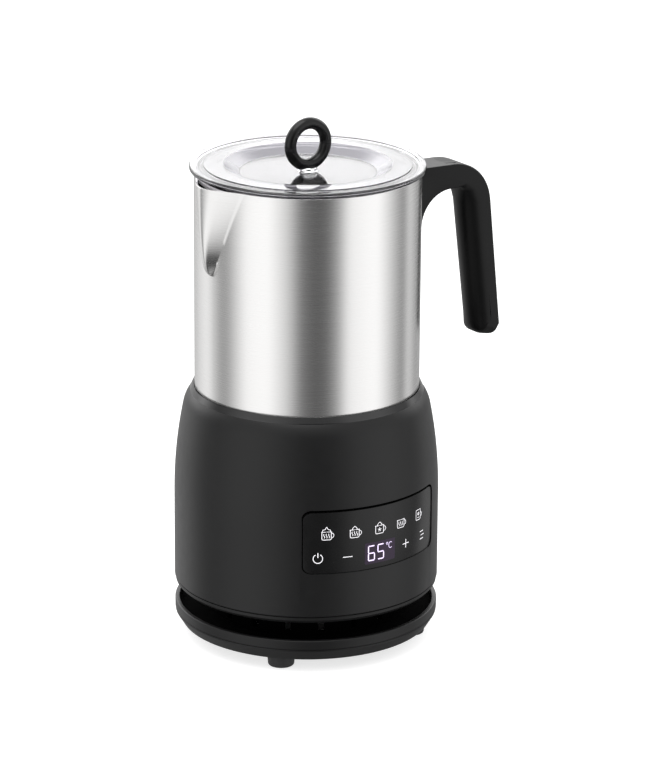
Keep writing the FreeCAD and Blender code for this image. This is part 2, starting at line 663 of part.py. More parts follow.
def make_chassis():
    """Beveled plate that carries the fan, the board and the housing."""
    seat = body_inner - slide_gap
    ledge = plate_radius - plate_ledge
    duct = fan_bore - duct_lip
    seat_top = shell_z + seat_sheet
    plate = turned("chassis_turned", [
        (duct, plate_z), (plate_radius - plate_bevel, plate_z),
        (plate_radius, plate_z + plate_bevel), (plate_radius, deck_z), (ledge, deck_z), (ledge, shell_z),
        (seat, shell_z), (seat, seat_top), (seat - seat_sheet, seat_top), (seat - seat_sheet, deck_z),
        (duct, deck_z)])
    pillars = around(pillar_place, 4)
    holes = [rod("chassis_hole_%d" % number, screw_hole, plate_height, x, y, plate_z)
             for number, (x, y, angle) in enumerate(pillars)]
    fan_places = four_corners(fan_screw_place, fan_screw_place)
    holes += [rod("chassis_fan_hole_%d" % number, screw_hole, plate_height, x, y, plate_z)
              for number, (x, y) in enumerate(fan_places)]
    node("chassis_plate", cut("chassis", plate, fuse("chassis_holes", holes)))
    length = plate_height + chassis_screw_grip
    node("chassis_screws", screws("chassis_screw", [spot[:2] for spot in pillars], deck_z,
                                  screw_head_height, length, screw_head_radius, screw_radius, False))


# ---------------------------------------------------------------- housing, liner and platform

def window_block(name, margin):
    """The window's outline, run through the front wall."""
    box = block(name + "_box", 2 * (window_half_width + margin), body_radius, window_height + 2 * margin,
                0, -body_radius, window_z - margin)
    return rounded(name, box, window_corner, Vector(0, 1, 0))


def make_housing():
    """Upright wall, a gently curved shoulder and a tighter crown up to the rim."""
    inner_arc = shoulder_arc - body_wall
    crown_inner = crown_radius - body_wall
    shell = turned("housing_turned", [
        (body_inner, shell_z), (body_radius, shell_z), (body_radius, shoulder_z, shoulder_arc, 1),
        (crown_radius, crown_z, crown_arc, 1), (rim_outer, rim_z), (rim_inner, rim_z),
        (rim_inner, rim_z - body_wall), (crown_inner, crown_z - rim_undercut, inner_arc, -1),
        (body_inner, shoulder_z)])
    node("body_shell", cut("housing", shell, window_block("window", 0)))


def make_liner():
    """Black cup that the jug stands in, with a raised lip and a pocket for the sensor."""
    inner = jug_radius + slide_gap
    outer = inner + liner_wall
    pocket = sensor_radius + slide_gap
    lip_top = rim_z + liner_lip_rise
    cup = turned("liner_cup", [
        (0, sensor_cup_z), (pocket + sensor_web, sensor_cup_z), (pocket + sensor_web, liner_z),
        (outer, liner_z), (outer, rim_z), (rim_outer, rim_z), (rim_outer, rim_z + liner_lip_start),
        (inner + liner_lip_width, lip_top), (inner, lip_top - liner_lip_bevel), (inner, well_floor_z),
        (pocket, well_floor_z), (pocket, spring_z), (0, spring_z)])
    pieces = [cup]
    holes = []
    for number, (x, y, angle) in enumerate(around(jug_radius - carrier_screw_inset, 3, 90.0)):
        pieces.append(rod("liner_boss_%d" % number, pillar_radius, coil_height, x, y, coil_z))
        holes.append(rod("liner_hole_%d" % number, screw_hole, coil_height, x, y, coil_z))
    node("well_liner", cut("liner", fuse("liner_solid", pieces), fuse("liner_holes", holes)))


def make_platform():
    edge = jug_radius - platform_inset
    plate = turned("platform_turned", [
        (sensor_radius + slide_gap, well_floor_z), (edge, well_floor_z), (edge, jug_z - platform_bevel),
        (edge - platform_bevel, jug_z), (sensor_radius + slide_gap, jug_z)])
    node("heating_platform", plate)


def make_sensor():
    cap = turned("sensor_turned", [
        (0, sensor_z), (sensor_radius, sensor_z), (sensor_radius, jug_z - sensor_bevel),
        (sensor_radius - sensor_bevel, jug_z), (0, jug_z)])
    node("sensor_cap", cap)
    outer = sensor_radius - spring_set
    spring = turned("sensor_spring_turned", [
        (outer - spring_sheet, spring_z), (outer, spring_z), (outer, sensor_z),
        (outer - spring_sheet, sensor_z)])
    node("sensor_spring", spring)


# ---------------------------------------------------------------- coil, motor and magnet drive

def make_coil():
    outer = jug_radius - coil_inset
    node("induction_coil", turned("coil_turned", [
        (coil_hole, coil_z), (outer, coil_z), (outer, liner_z), (coil_hole, liner_z)]))
    carrier = turned("carrier_turned", [
        (coil_hole - carrier_lip, carrier_z), (jug_radius - carrier_inset, carrier_z),
        (jug_radius - carrier_inset, coil_z), (coil_hole - carrier_lip, coil_z)])
    spots = around(jug_radius - carrier_screw_inset, 3, 90.0)
    holes = [rod("carrier_hole_%d" % number, screw_hole, carrier_height, x, y, carrier_z)
             for number, (x, y, angle) in enumerate(spots)]
    node("coil_carrier", cut("carrier", carrier, fuse("carrier_holes", holes)))
    node("carrier_screws", screws("carrier_screw", [spot[:2] for spot in spots],
                                  carrier_z - screw_head_height, screw_head_height,
                                  carrier_height + coil_height - screw_end_gap, screw_head_radius,
                                  screw_radius, True))


def make_ferrites():
    bars = []
    for number, (x, y, angle) in enumerate(around(coil_hole + ferrite_start, 6)):
        turn = math.radians(angle)
        bars.append(block("ferrite_%d" % number, ferrite_length, ferrite_width, ferrite_height,
                          x + ferrite_width * (math.sin(turn) / 2), y - ferrite_width * (math.cos(turn) / 2),
                          carrier_z - ferrite_height, Rotation(Vector(0, 0, 1), angle)))
    node("ferrite_bars", fuse("ferrites", bars))


def make_motor():
    bracket = turned("bracket_turned", [
        (bracket_hole, motor_top_z), (bracket_radius, motor_top_z), (bracket_radius, bracket_top_z),
        (bracket_hole, bracket_top_z)])
    columns = [rod("column_%d" % number, column_radius, bracket_drop, x, y, bracket_top_z)
               for number, (x, y, angle) in enumerate(around(column_place, 3, 30.0))]
    places = [(motor_screw_place, 0), (-motor_screw_place, 0)]
    drilled = motor_screw_depth + drill_run
    holes = [rod("bracket_hole_%d" % number, motor_screw_radius + close_fit, bracket_sheet, x, y, motor_top_z)
             for number, (x, y) in enumerate(places)]
    node("motor_bracket", cut("motor_bracket_cut", fuse("motor_bracket_solid", [bracket] + columns),
                              fuse("motor_bracket_holes", holes)))
    can = rod("motor_can_rod", motor_radius, motor_height, 0, 0, motor_top_z - motor_height)
    bores = [rod("motor_bore", shaft_radius + close_fit, shaft_depth + drill_run, 0, 0,
                 motor_top_z - shaft_depth - drill_run)]
    bores += [rod("motor_screw_hole_%d" % number, motor_screw_radius + close_fit, drilled, x, y,
                  motor_top_z - drilled)
              for number, (x, y) in enumerate(places)]
    node("motor_can", cut("motor", can, fuse("motor_bores", bores)))
    node("motor_screws", screws("motor_screw", places, bracket_top_z, motor_screw_head_height,
                                bracket_sheet + motor_screw_depth, motor_screw_head_radius,
                                motor_screw_radius, False))


def make_rotor():
    shaft_length = shaft_depth + (hub_z - motor_top_z) + hub_height - hub_cap
    node("motor_shaft", rod("shaft", shaft_radius, shaft_length, 0, 0, motor_top_z - shaft_depth))
    hub = rod("hub_rod", hub_radius, hub_height, 0, 0, hub_z)
    top = hub_z + hub_height
    bores = [rod("hub_bore", shaft_radius + close_fit, hub_height - hub_cap + shaft_end_gap, 0, 0, hub_z)]
    magnets = []
    for number, (x, y, angle) in enumerate(around(magnet_place, 4)):
        bores.append(rod("hub_pocket_%d" % number, magnet_radius + close_fit, magnet_height, x, y,
                         top - magnet_height))
        magnets.append(rod("drive_magnet_%d" % number, magnet_radius, magnet_height, x, y,
                           top - magnet_height))
    node("rotor_hub", cut("hub", hub, fuse("hub_bores", bores)))
    node("rotor_magnets", fuse("drive_magnets", magnets))


# ---------------------------------------------------------------- fan and electronics

def make_fan():
    frame = block("fan_box", fan_width, fan_width, fan_height, 0, 0, deck_z)
    frame = rounded("fan_rounded", frame, fan_round, Vector(0, 0, 1))
    places = four_corners(fan_screw_place, fan_screw_place)
    holes = [rod("fan_duct", fan_bore, fan_height, 0, 0, deck_z)]
    holes += [rod("fan_hole_%d" % number, screw_hole, fan_height, x, y, deck_z)
              for number, (x, y) in enumerate(places)]
    rim = cut("fan_rim", frame, fuse("fan_frame_holes", holes))
    cup = rod("fan_cup", fan_hub_radius - fan_cup_inset, fan_spider_height, 0, 0, deck_z)
    span = 2 * (fan_bore + fan_lap)
    struts = [block("fan_strut_0", fan_strut, span, fan_spider_height, 0, 0, deck_z),
              block("fan_strut_1", span, fan_strut, fan_spider_height, 0, 0, deck_z)]
    axle_hole = rod("fan_axle_hole", fan_axle_radius + close_fit, fan_spider_height, 0, 0, deck_z)
    spider = cut("fan_spider", fuse("fan_spokes", [cup] + struts), axle_hole)
    node("fan_frame", fuse("fan_frame_solid", [rim, spider]))
    node("fan_screws", screws("fan_screw", places, deck_z + fan_height, screw_head_height,
                              fan_height + plate_height, screw_head_radius, screw_radius, False))
    blade_z = deck_z + fan_blade_rise
    blade_height = fan_height - fan_blade_rise - fan_blade_drop
    hub = rod("impeller_hub", fan_hub_radius, blade_height, 0, 0, blade_z)
    axle = rod("impeller_axle", fan_axle_radius, fan_axle_length, 0, 0, deck_z + fan_axle_rise)
    pieces = [hub, axle]
    length = fan_bore - fan_tip_gap - fan_hub_radius + fan_blade_root - fan_tip_curve
    for number, (x, y, angle) in enumerate(around(fan_hub_radius - fan_blade_root, fan_blades)):
        pitch = Rotation(Vector(0, 0, 1), angle).multiply(Rotation(Vector(1, 0, 0), FAN_PITCH))
        across = pitch.multVec(Vector(0, -0.5, 0))
        through = pitch.multVec(Vector(0, 0, -0.5))
        blade = bind(doc.addObject("Part::Box", "impeller_blade_%d" % number), Length=length,
                     Width=fan_blade_chord, Height=fan_blade_sheet)
        pieces.append(place(blade, x + fan_blade_chord * across.x + fan_blade_sheet * through.x,
                            y + fan_blade_chord * across.y + fan_blade_sheet * through.y,
                            blade_z + blade_height / 2 + fan_blade_chord * across.z
                            + fan_blade_sheet * through.z, pitch))
    node("fan_impeller", fuse("impeller", pieces))


def make_board():
    board = turned("board_turned", [
        (board_hole, board_z), (board_radius, board_z), (board_radius, board_top_z),
        (board_hole, board_top_z)])
    node("power_board", board)
    posts = [rod("board_post_%d" % number, board_post_radius, board_standoff, x, y, deck_z)
             for number, (x, y) in enumerate(four_corners(board_post_place, board_post_place))]
    node("board_posts", fuse("board_posts_all", posts))
    cans = []
    for number, angle in enumerate(CAPACITOR_ANGLES):
        turn = math.radians(angle)
        cans.append(rod("capacitor_%d" % number, capacitor_radius, capacitor_height,
                        capacitor_place * math.cos(turn), capacitor_place * math.sin(turn), board_top_z))
    node("power_capacitors", fuse("capacitors", cans))
    fins = [block("sink_base", sink_depth, sink_width, sink_sheet, -sink_place, 0, board_top_z)]
    for number in range(sink_fins):
        fins.append(block("sink_fin_%d" % number, sink_depth, sink_fin, sink_height, -sink_place,
                          sink_pitch * (number - (sink_fins - 1) / 2), board_top_z))
    node("heat_sink", fuse("sink", fins))


def wall_ring(name, inner, outer):
    """A ring behind the window that follows the housing's wall between two depths below its surface."""
    low = window_z - panel_flange
    rise = window_rise + panel_flange
    arc_centre = body_radius - shoulder_arc
    inner_arc = shoulder_arc - inner
    outer_arc = shoulder_arc - outer
    return turned(name, [
        (body_radius - inner, low), (body_radius - outer, low),
        (body_radius - outer, shoulder_z, outer_arc, 1),
        (arc_centre + root_of(outer_arc * outer_arc - rise * rise), shoulder_z + rise),
        (arc_centre + root_of(inner_arc * inner_arc - rise * rise), shoulder_z + rise, inner_arc, -1),
        (body_radius - inner, shoulder_z)])


def make_panel():
    """Curved cover in the housing's window, with a flange behind the wall and two bosses."""
    behind = body_wall + joint_gap
    back = body_inner - joint_gap - panel_flange
    plate_ring = wall_ring("panel_face_ring", behind + panel_lap, panel_recess)
    flange_ring = wall_ring("panel_flange_ring", behind + panel_flange, behind)
    plate = common("panel_plate", plate_ring, window_block("panel_plug", -joint_gap))
    flange = common("panel_rim", flange_ring, window_block("panel_back", panel_flange))
    board_y = -(root_of(back * back - touch_boss_x * touch_boss_x) - touch_boss_gap)
    middle_z = window_z + window_height / 2
    bosses = [rod("panel_boss_%d" % number, touch_boss_radius, touch_boss_length, touch_boss_x * side,
                  board_y - touch_boss_length, middle_z, ALONG_Y) for number, side in enumerate((1, -1))]
    node("panel_cover", fuse("panel", [plate, flange] + bosses))
    node("touch_board", block("touch", 2 * (touch_boss_x + touch_board_margin), board_sheet, window_height, 0,
                              board_y + board_sheet / 2, window_z))
    half = display_width / 2
    front = root_of(back * back - half * half) - joint_gap
    depth = front + board_y
    node("display_module", block("display", display_width, depth, display_height, 0,
                                 board_y - depth / 2, window_z + display_low))


# ---------------------------------------------------------------- jug and handle

def spout_outline(drop, wall):
    """Plan of the spout at a height below the rim: two flanks and a narrow nose."""
    share = (spout_drop - drop) / spout_drop
    half = share * (spout_half_width - wall) + 0.6
    nose = share * 3.4 + 0.8
    radius = jug_radius - wall
    seat = root_of(radius * radius - half * half)
    fullness = (spout_drop - drop) / (spout_drop - drop + 4.0) * (spout_drop + 4.0) / spout_drop
    tip = radius + fullness * spout_reach
    return [(-seat + 8.0, -half), (-seat, -half), (-tip, -nose), (-tip, nose), (-seat, half),
            (-seat + 8.0, half)]


def add_spout(body, name, wall, kind):
    sketches = []
    for number, drop in enumerate((spout_drop, spout_drop * 0.88, spout_drop * 0.6, spout_drop * 0.0)):
        sketches.append(sketch_outline(body, "%s_%d" % (name, number), "XY_Plane",
                                       spout_outline(drop, wall), jug_rim_z - drop))
    loft = body.newObject(kind, name)
    loft.Profile = sketches[0]
    loft.Sections = sketches[1:]
    loft.Ruled = True
    return loft


def make_jug():
    """Drawn cup with a V-shaped spout pressed out of its wall."""
    body = new_body("jug_cup")
    corner = 3.0
    add_turning(body, "jug_outside", [
        (0, jug_shell_z), (jug_radius - corner, jug_shell_z), (jug_radius, jug_shell_z + corner),
        (jug_radius, jug_rim_z), (0, jug_rim_z)])
    add_spout(body, "spout_outside", 0, "PartDesign::AdditiveLoft")
    add_turning(body, "jug_inside", [
        (0, jug_floor_z), (jug_inner - corner, jug_floor_z), (jug_inner, jug_floor_z + corner),
        (jug_inner, jug_rim_z), (0, jug_rim_z)], "PartDesign::Groove")
    add_spout(body, "spout_inside", jug_wall, "PartDesign::SubtractiveLoft")
    node("jug_shell", body)
    disc = jug_radius - jug_disc_inset
    node("jug_base_disc", turned("jug_disc_turned", [
        (0, jug_z), (disc - 0.6, jug_z), (disc, jug_z + 0.6), (disc, jug_shell_z), (0, jug_shell_z)]))
    foot_top = jug_floor_z + spindle_foot_height
    top = jug_floor_z + spindle_height
    node("whisk_spindle", turned("spindle_turned", [
        (0, jug_floor_z), (spindle_foot_radius, jug_floor_z), (spindle_foot_radius, foot_top),
        (spindle_radius, foot_top), (spindle_radius, top - 1.0), (spindle_radius - 1.0, top), (0, top)]))


def padded_plate(name, outline, width):
    """A plate of an outline in the XZ plane, as wide to each side of it."""
    body = new_body(name)
    sketch = sketch_outline(body, name + "_outline", "XZ_Plane", outline)
    pad = body.newObject("PartDesign::Pad", name + "_pad")
    pad.Profile = sketch
    pad.Midplane = True
    bind(pad, Length=width)
    return body


def make_handle():
    """Steel bracket on the jug, and a grip that hangs from an arm with an arch under it."""
    bracket_face = jug_radius + bracket_pad
    root_face = bracket_face + root_sheet
    bracket_top = jug_rim_z - bracket_top_drop
    root_low = handle_top_z - root_length
    bracket_low = root_low + 3.0
    pad = block("bracket_block", bracket_pad + 4.0, 2 * bracket_half_width, bracket_top - bracket_low,
                bracket_face - (bracket_pad + 4.0) / 2, 0, bracket_low)
    jug_space = rod("bracket_space", jug_radius + close_fit, bracket_top - bracket_low, 0, 0, bracket_low)
    screw_z = [root_low + handle_screw_low, root_low + handle_screw_low + handle_screw_pitch]
    taps = [rod("bracket_tap_%d" % number, screw_radius + close_fit, 2.0, bracket_face - 2.0, 0, z, ALONG_X)
            for number, z in enumerate(screw_z)]
    node("handle_bracket", cut("bracket", pad, fuse("bracket_cuts", [jug_space] + taps)))

    # The elbow's arc leaves the arm and meets the grip in line with both.
    arm_length = root_of(arm_reach * arm_reach + arm_slope * arm_slope)
    face_length = root_of(grip_lean * grip_lean + grip_length * grip_length)
    elbow_x = bracket_face + arm_reach
    elbow_z = handle_top_z - arm_slope
    outer_x = elbow_x + elbow_arc * (grip_length / face_length - arm_slope / arm_length)
    outer_z = elbow_z - elbow_arc * (arm_reach / arm_length - grip_lean / face_length)
    tip_x = outer_x + grip_lean
    tip_z = outer_z - grip_length
    arch_x = root_face + arch_radius
    arch_z = handle_top_z - arch_drop
    inner_x = arch_x + grip_inner_lean
    inner_z = arch_z - inner_edge_drop
    grip = padded_plate("grip", [
        (bracket_face, root_low), (root_face, root_low), (root_face, arch_z - arch_radius, arch_radius, -1),
        (arch_x, arch_z), (inner_x, inner_z), (inner_x + 4.0, inner_z - grip_tip - 1.5),
        (tip_x - 4.0, tip_z - grip_tip), (tip_x, tip_z), (outer_x, outer_z, elbow_arc, 1),
        (elbow_x, elbow_z), (bracket_face, handle_top_z)], handle_width)
    doc.recompute()
    grip_edges = []
    for number, edge in enumerate(grip.Shape.Edges, 1):
        box = edge.BoundBox
        beside = abs(abs(box.YMin) - handle_width.number / 2) < 0.01 and box.YLength < 0.01
        if beside and box.XMin > arch_x.number - 0.01 and box.ZMax < elbow_z.number + 0.01:
            grip_edges.append("Edge%d" % number)
    plain_grip = grip.Tip
    fillet = grip.newObject("PartDesign::Fillet", "grip_rounding")
    fillet.Base = (plain_grip, grip_edges)
    bind(fillet, Radius=handle_round)
    grip.Tip = fillet
    cap_x = bracket_face + 2.5
    seat_z = handle_top_z - cap_sheet - 0.6
    seat = block("cap_seat", cap_length + 2 * joint_gap, cap_width + 2 * joint_gap, cap_sheet + 2.0,
                 cap_x + cap_length / 2, 0, seat_z)
    bores = [seat]
    screws_made = []
    for number, z in enumerate(screw_z):
        bores.append(rod("grip_bore_%d" % number, screw_hole, root_sheet, bracket_face, 0, z, ALONG_X))
        bores.append(rod("grip_sink_%d" % number, screw_head_radius + joint_gap, screw_head_height,
                         root_face - screw_head_height, 0, z, ALONG_X))
        shank = rod("handle_shank_%d" % number, screw_radius, root_sheet - screw_head_height + 1.9,
                    bracket_face - 1.9, 0, z, ALONG_X)
        head = rod("handle_head_%d" % number, screw_head_radius, screw_head_height - 0.3,
                   root_face - screw_head_height, 0, z, ALONG_X)
        screws_made += [shank, head]
    node("handle_grip", cut("grip_cut", grip, fuse("grip_bores", bores)))
    node("handle_screws", fuse("handle_screws_all", screws_made))
    node("handle_cap", block("cap", cap_length, cap_width, cap_sheet, cap_x + cap_length / 2, 0, seat_z))


# ---------------------------------------------------------------- whisk

def make_whisk():
    """Hub that spins on the jug's spindle and carries a coil of wire round its waist."""
    low = jug_floor_z + spindle_foot_height + slide_gap
    middle = low + whisk_lift
    groove = whisk_wire_ring + close_fit
    edge = whisk_radius - whisk_seat_low
    shelf = whisk_radius - whisk_seat_high
    bore = spindle_radius + close_fit
    hub = turned("whisk_turned", [
        (bore, low), (edge - 1.5, low), (edge, low + 1.0),
        (edge, middle - root_of(groove * groove - whisk_seat_low * whisk_seat_low), groove, -1),
        (shelf, middle + root_of(groove * groove - whisk_seat_high * whisk_seat_high)),
        (whisk_hub_radius, middle + groove), (whisk_hub_radius - 1.0, low + whisk_hub_height),
        (bore, low + whisk_hub_height)])
    pockets = []
    magnets = []
    for number, (x, y, angle) in enumerate(around(8.0, 4, 45.0)):
        pockets.append(rod("whisk_pocket_%d" % number, whisk_magnet_radius + close_fit, 2.2, x, y, low + 0.8))
        magnets.append(rod("whisk_magnet_%d" % number, whisk_magnet_radius, 2.2, x, y, low + 0.8))
    node("whisk_hub", cut("whisk", hub, fuse("whisk_pockets", pockets)))
    node("whisk_magnets", fuse("whisk_magnets_all", magnets))
    node("whisk_spring", hoop("whisk_coil", whisk_radius, whisk_wire_ring, middle))


# ---------------------------------------------------------------- lid and knob

def make_lid():
    """Clear lid with a stepped rim, a dished middle and a skirt that carries the seal."""
    skirt_outer = jug_inner - slide_gap - seal_stand
    skirt_inner = skirt_outer - skirt_sheet
    skirt_low = jug_rim_z - skirt_depth
    step_z = lid_top_z - lid_step
    floor_z = dish_z - lid_sheet
    ceiling = lid_top_z - lid_step - lid_sheet
    seal_z = jug_rim_z - 1.6 - seal_height
    disc = turned("lid_turned", [
        (0, floor_z), (dish_inner - 0.6, floor_z), (dish_outer - 0.6, ceiling), (skirt_inner, ceiling),
        (skirt_inner, skirt_low), (skirt_outer, skirt_low), (skirt_outer, seal_z),
        (skirt_outer - 0.6, seal_z), (skirt_outer - 0.6, seal_z + seal_height),
        (skirt_outer, seal_z + seal_height), (skirt_outer, jug_rim_z), (jug_radius + 0.3, jug_rim_z),
        (jug_radius + 0.3, lid_under_z), (lid_radius, lid_under_z), (lid_radius, lid_top_z - 0.5),
        (lid_radius - 0.5, lid_top_z), (lid_radius - step_outer, lid_top_z),
        (lid_radius - step_outer, step_z), (lid_radius - step_inner, step_z),
        (lid_radius - step_inner, lid_top_z), (dish_outer, lid_top_z), (dish_inner, dish_z), (0, dish_z)])
    hole = rod("lid_hole", knob_screw_radius + joint_gap, lid_sheet, 0, 0, floor_z)
    node("lid_disc", cut("lid", disc, hole))
    node("lid_seal", turned("seal_turned", [
        (skirt_outer - 0.6, seal_z), (skirt_outer + seal_stand * 0.6, seal_z),
        (skirt_outer + seal_stand, seal_z + seal_height / 2),
        (skirt_outer + seal_stand * 0.6, seal_z + seal_height), (skirt_outer - 0.6, seal_z + seal_height)]))


def make_knob():
    """Ring pull that a screw holds upright in a polished collar."""
    centre_z = dish_z + knob_stand + knob_major + knob_minor
    floor_z = dish_z - lid_sheet
    upright = Rotation(Vector(1, 0, 0), 90)
    ring = hoop("knob_hoop", knob_major, knob_minor, centre_z, upright)
    screw_top = dish_z + knob_stand + knob_minor * 1.3
    bore = rod("knob_bore", knob_screw_radius + close_fit, screw_top - dish_z, 0, 0, dish_z)
    node("knob_ring", cut("knob", ring, bore))
    collar = turned("collar_turned", [
        (knob_screw_radius + joint_gap, dish_z), (collar_radius + 0.8, dish_z),
        (collar_radius, dish_z + 0.8), (collar_radius, dish_z + collar_height),
        (knob_screw_radius + joint_gap, dish_z + collar_height)])
    saddle = hoop("collar_saddle", knob_major, knob_minor + close_fit, centre_z, upright)
    node("knob_collar", cut("collar", collar, saddle))
    node("knob_washer", turned("washer_turned", [
        (knob_screw_radius + joint_gap, floor_z - washer_height), (washer_radius, floor_z - washer_height),
        (washer_radius, floor_z), (knob_screw_radius + joint_gap, floor_z)]))
    head_z = floor_z - washer_height - screw_head_height
    node("knob_screw", screws("knob_screw_one", [(0, 0)], head_z, screw_head_height,
                              washer_height + lid_sheet + (screw_top - dish_z) - 0.3,
                              screw_head_radius, knob_screw_radius, True))


# ---------------------------------------------------------------- build, check and write

BUILDERS = (make_feet, make_pan, make_ring, make_gland, make_neck, make_chassis, make_housing, make_liner,
            make_platform, make_sensor, make_coil, make_ferrites, make_motor, make_rotor, make_fan,
            make_board, make_panel, make_jug, make_handle, make_whisk, make_lid, make_knob)

doc.recompute()
for builder in BUILDERS:
    builder()
doc.recompute()

failed = [item.Name for item in doc.Objects if "Invalid" in item.State or "Error" in item.State]
if failed:
    raise RuntimeError("features failed: " + ", ".join(failed))
for name, feature in nodes.items():
    shape = feature.Shape
    if shape.isNull() or not shape.isValid() or not shape.Solids:
        raise RuntimeError("sub-part has no valid solid: " + name)

os.makedirs("parts", exist_ok=True)
for name, feature in nodes.items():
    feature.Shape.exportStep(os.path.join("parts", name + ".step"))
    print("%-18s %d solid(s) %9.1f mm3" % (name, len(feature.Shape.Solids), feature.Shape.Volume))
print(len(nodes), "sub-parts")
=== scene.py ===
"""Milk frother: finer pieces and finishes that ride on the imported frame, with a plain studio around them."""

import logging
import math
from collections.abc import Callable, Iterator, Sequence
from contextlib import contextmanager
from dataclasses import dataclass
from enum import Enum

import bpy
from mathutils import Matrix, Vector


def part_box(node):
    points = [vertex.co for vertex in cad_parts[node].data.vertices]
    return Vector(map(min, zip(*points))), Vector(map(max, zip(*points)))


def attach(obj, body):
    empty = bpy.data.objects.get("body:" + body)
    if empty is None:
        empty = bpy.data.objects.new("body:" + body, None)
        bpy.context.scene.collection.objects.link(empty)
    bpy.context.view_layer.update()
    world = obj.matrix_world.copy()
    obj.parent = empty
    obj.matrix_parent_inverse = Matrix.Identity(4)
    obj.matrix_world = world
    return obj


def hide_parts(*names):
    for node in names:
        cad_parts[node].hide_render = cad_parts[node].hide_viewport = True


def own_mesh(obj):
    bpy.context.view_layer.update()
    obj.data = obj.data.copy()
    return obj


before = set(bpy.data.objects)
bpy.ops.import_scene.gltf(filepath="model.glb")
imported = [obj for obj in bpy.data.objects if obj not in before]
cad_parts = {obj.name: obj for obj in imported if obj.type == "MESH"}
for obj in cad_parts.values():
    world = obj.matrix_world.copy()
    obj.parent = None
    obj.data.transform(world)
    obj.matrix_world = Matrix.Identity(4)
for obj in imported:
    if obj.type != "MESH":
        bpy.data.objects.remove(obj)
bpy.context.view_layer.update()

LOG = logging.getLogger("frother")
MM = 0.001
FULL_TURN = 2 * math.pi
QUARTER = 0.25
WELD = 0.002

# Faces round a turned piece, by how large it looks.
FINE = 224
MEDIUM = 128
COARSE = 64

Point = tuple[float, float]
Stroke = list[Point]
Piece = bpy.types.Object
Colour = tuple[float, float, float]


class Part(Enum):
    """What a selection in edit mode is made of."""

    EDGE = "edges"
    FACE = "polygons"


class Cut(Enum):
    """How one closed mesh shapes another."""

    AWAY = "DIFFERENCE"
    KEEP = "INTERSECT"


# ---------------------------------------------------------------- bench: every length here is in millimetres


def clear_selection() -> None:
    """Leaves object mode with nothing selected."""
    if bpy.context.object and bpy.context.object.mode != "OBJECT":
        bpy.ops.object.mode_set(mode="OBJECT")
    bpy.ops.object.select_all(action="DESELECT")


def activate(piece: Piece) -> None:
    """Selects one piece alone and makes it active.

    Args:
        piece: The piece to work on.
    """
    clear_selection()
    piece.select_set(True)
    bpy.context.view_layer.objects.active = piece


def named(name: str) -> Piece:
    """Names the piece just added and puts its place into its mesh.

    Args:
        name: The piece's name.

    Returns:
        The active object.
    """
    piece = bpy.context.object
    piece.name = piece.data.name = name
    bpy.ops.object.transform_apply(location=True, rotation=True, scale=True)
    return piece


@contextmanager
def editing(piece: Piece, everything: bool = True) -> Iterator[None]:
    """Holds a piece in edit mode.

    Args:
        piece: The piece to edit.
        everything: Whether all of it starts selected.

    Yields:
        Nothing.
    """
    activate(piece)
    bpy.ops.object.mode_set(mode="EDIT")
    if everything:
        bpy.ops.mesh.select_mode(type="VERT")
        bpy.ops.mesh.select_all(action="SELECT")
    yield
    bpy.ops.object.mode_set(mode="OBJECT")


def pick(piece: Piece, part: Part, test: Callable[[Vector, Vector], bool]) -> int:
    """Selects edges or faces by their place and direction.

    Args:
        piece: The piece to select on.
        part: What to select.
        test: Says yes to a middle point and a direction: a face's normal, or an edge's run.

    Returns:
        How many were selected.
    """
    with editing(piece):
        bpy.ops.mesh.select_mode(type=part.name)
        bpy.ops.mesh.select_all(action="DESELECT")
    mesh = piece.data
    count = 0
    for item in getattr(mesh, part.value):
        if part is Part.FACE:
            place, run = item.center, item.normal
        else:
            ends = [mesh.vertices[i].co for i in item.vertices]
            place, run = (ends[0] + ends[1]) / 2, (ends[1] - ends[0]).normalized()
        item.select = test(place / MM, run)
        count += item.select
    return count


def settle(piece: Piece) -> None:
    """Merges doubles and turns every face outwards.

    Args:
        piece: A closed mesh.
    """
    with editing(piece):
        bpy.ops.mesh.remove_doubles(threshold=WELD * MM)
        bpy.ops.mesh.normals_make_consistent(inside=False)


def smoothed(piece: Piece, degrees: float = 35.0) -> Piece:
    """Shades a piece smooth up to an angle.

    Args:
        piece: The piece.
        degrees: Edges sharper than this stay crisp.

    Returns:
        The same piece.
    """
    activate(piece)
    bpy.ops.object.shade_smooth_by_angle(angle=math.radians(degrees))
    return piece


def apply_modifier(piece: Piece, kind: str, **settings: object) -> Piece:
    """Adds one modifier and applies it.

    Args:
        piece: The piece.
        kind: The modifier's type.
        **settings: Its properties.

    Returns:
        The same piece.
    """
    activate(piece)
    bpy.ops.object.modifier_add(type=kind)
    modifier = piece.modifiers[-1]
    for key, value in settings.items():
        setattr(modifier, key, value)
    bpy.ops.object.modifier_apply(modifier=modifier.name)
    return piece


def carve(piece: Piece, tool: Piece, cut: Cut) -> Piece:
    """Shapes a piece with a tool mesh, which is used up.

    Args:
        piece: The piece that stays.
        tool: The closed mesh that shapes it.
        cut: Which of the two volumes is kept.

    Returns:
        The shaped piece.
    """
    apply_modifier(piece, "BOOLEAN", operation=cut.value, object=tool, solver="EXACT")
    bpy.data.objects.remove(tool)
    return piece


def softened(piece: Piece, width: float, degrees: float = 40.0, segments: int = 3) -> Piece:
    """Rounds every edge sharper than an angle.

    Args:
        piece: The piece.
        width: Width of the rounding.
        degrees: Edges flatter than this are left.
        segments: Faces across the rounding.

    Returns:
        The same piece, shaded smooth.
    """
    apply_modifier(piece, "BEVEL", width=width * MM, segments=segments, limit_method="ANGLE",
                   angle_limit=math.radians(degrees), use_clamp_overlap=True)
    return smoothed(piece)


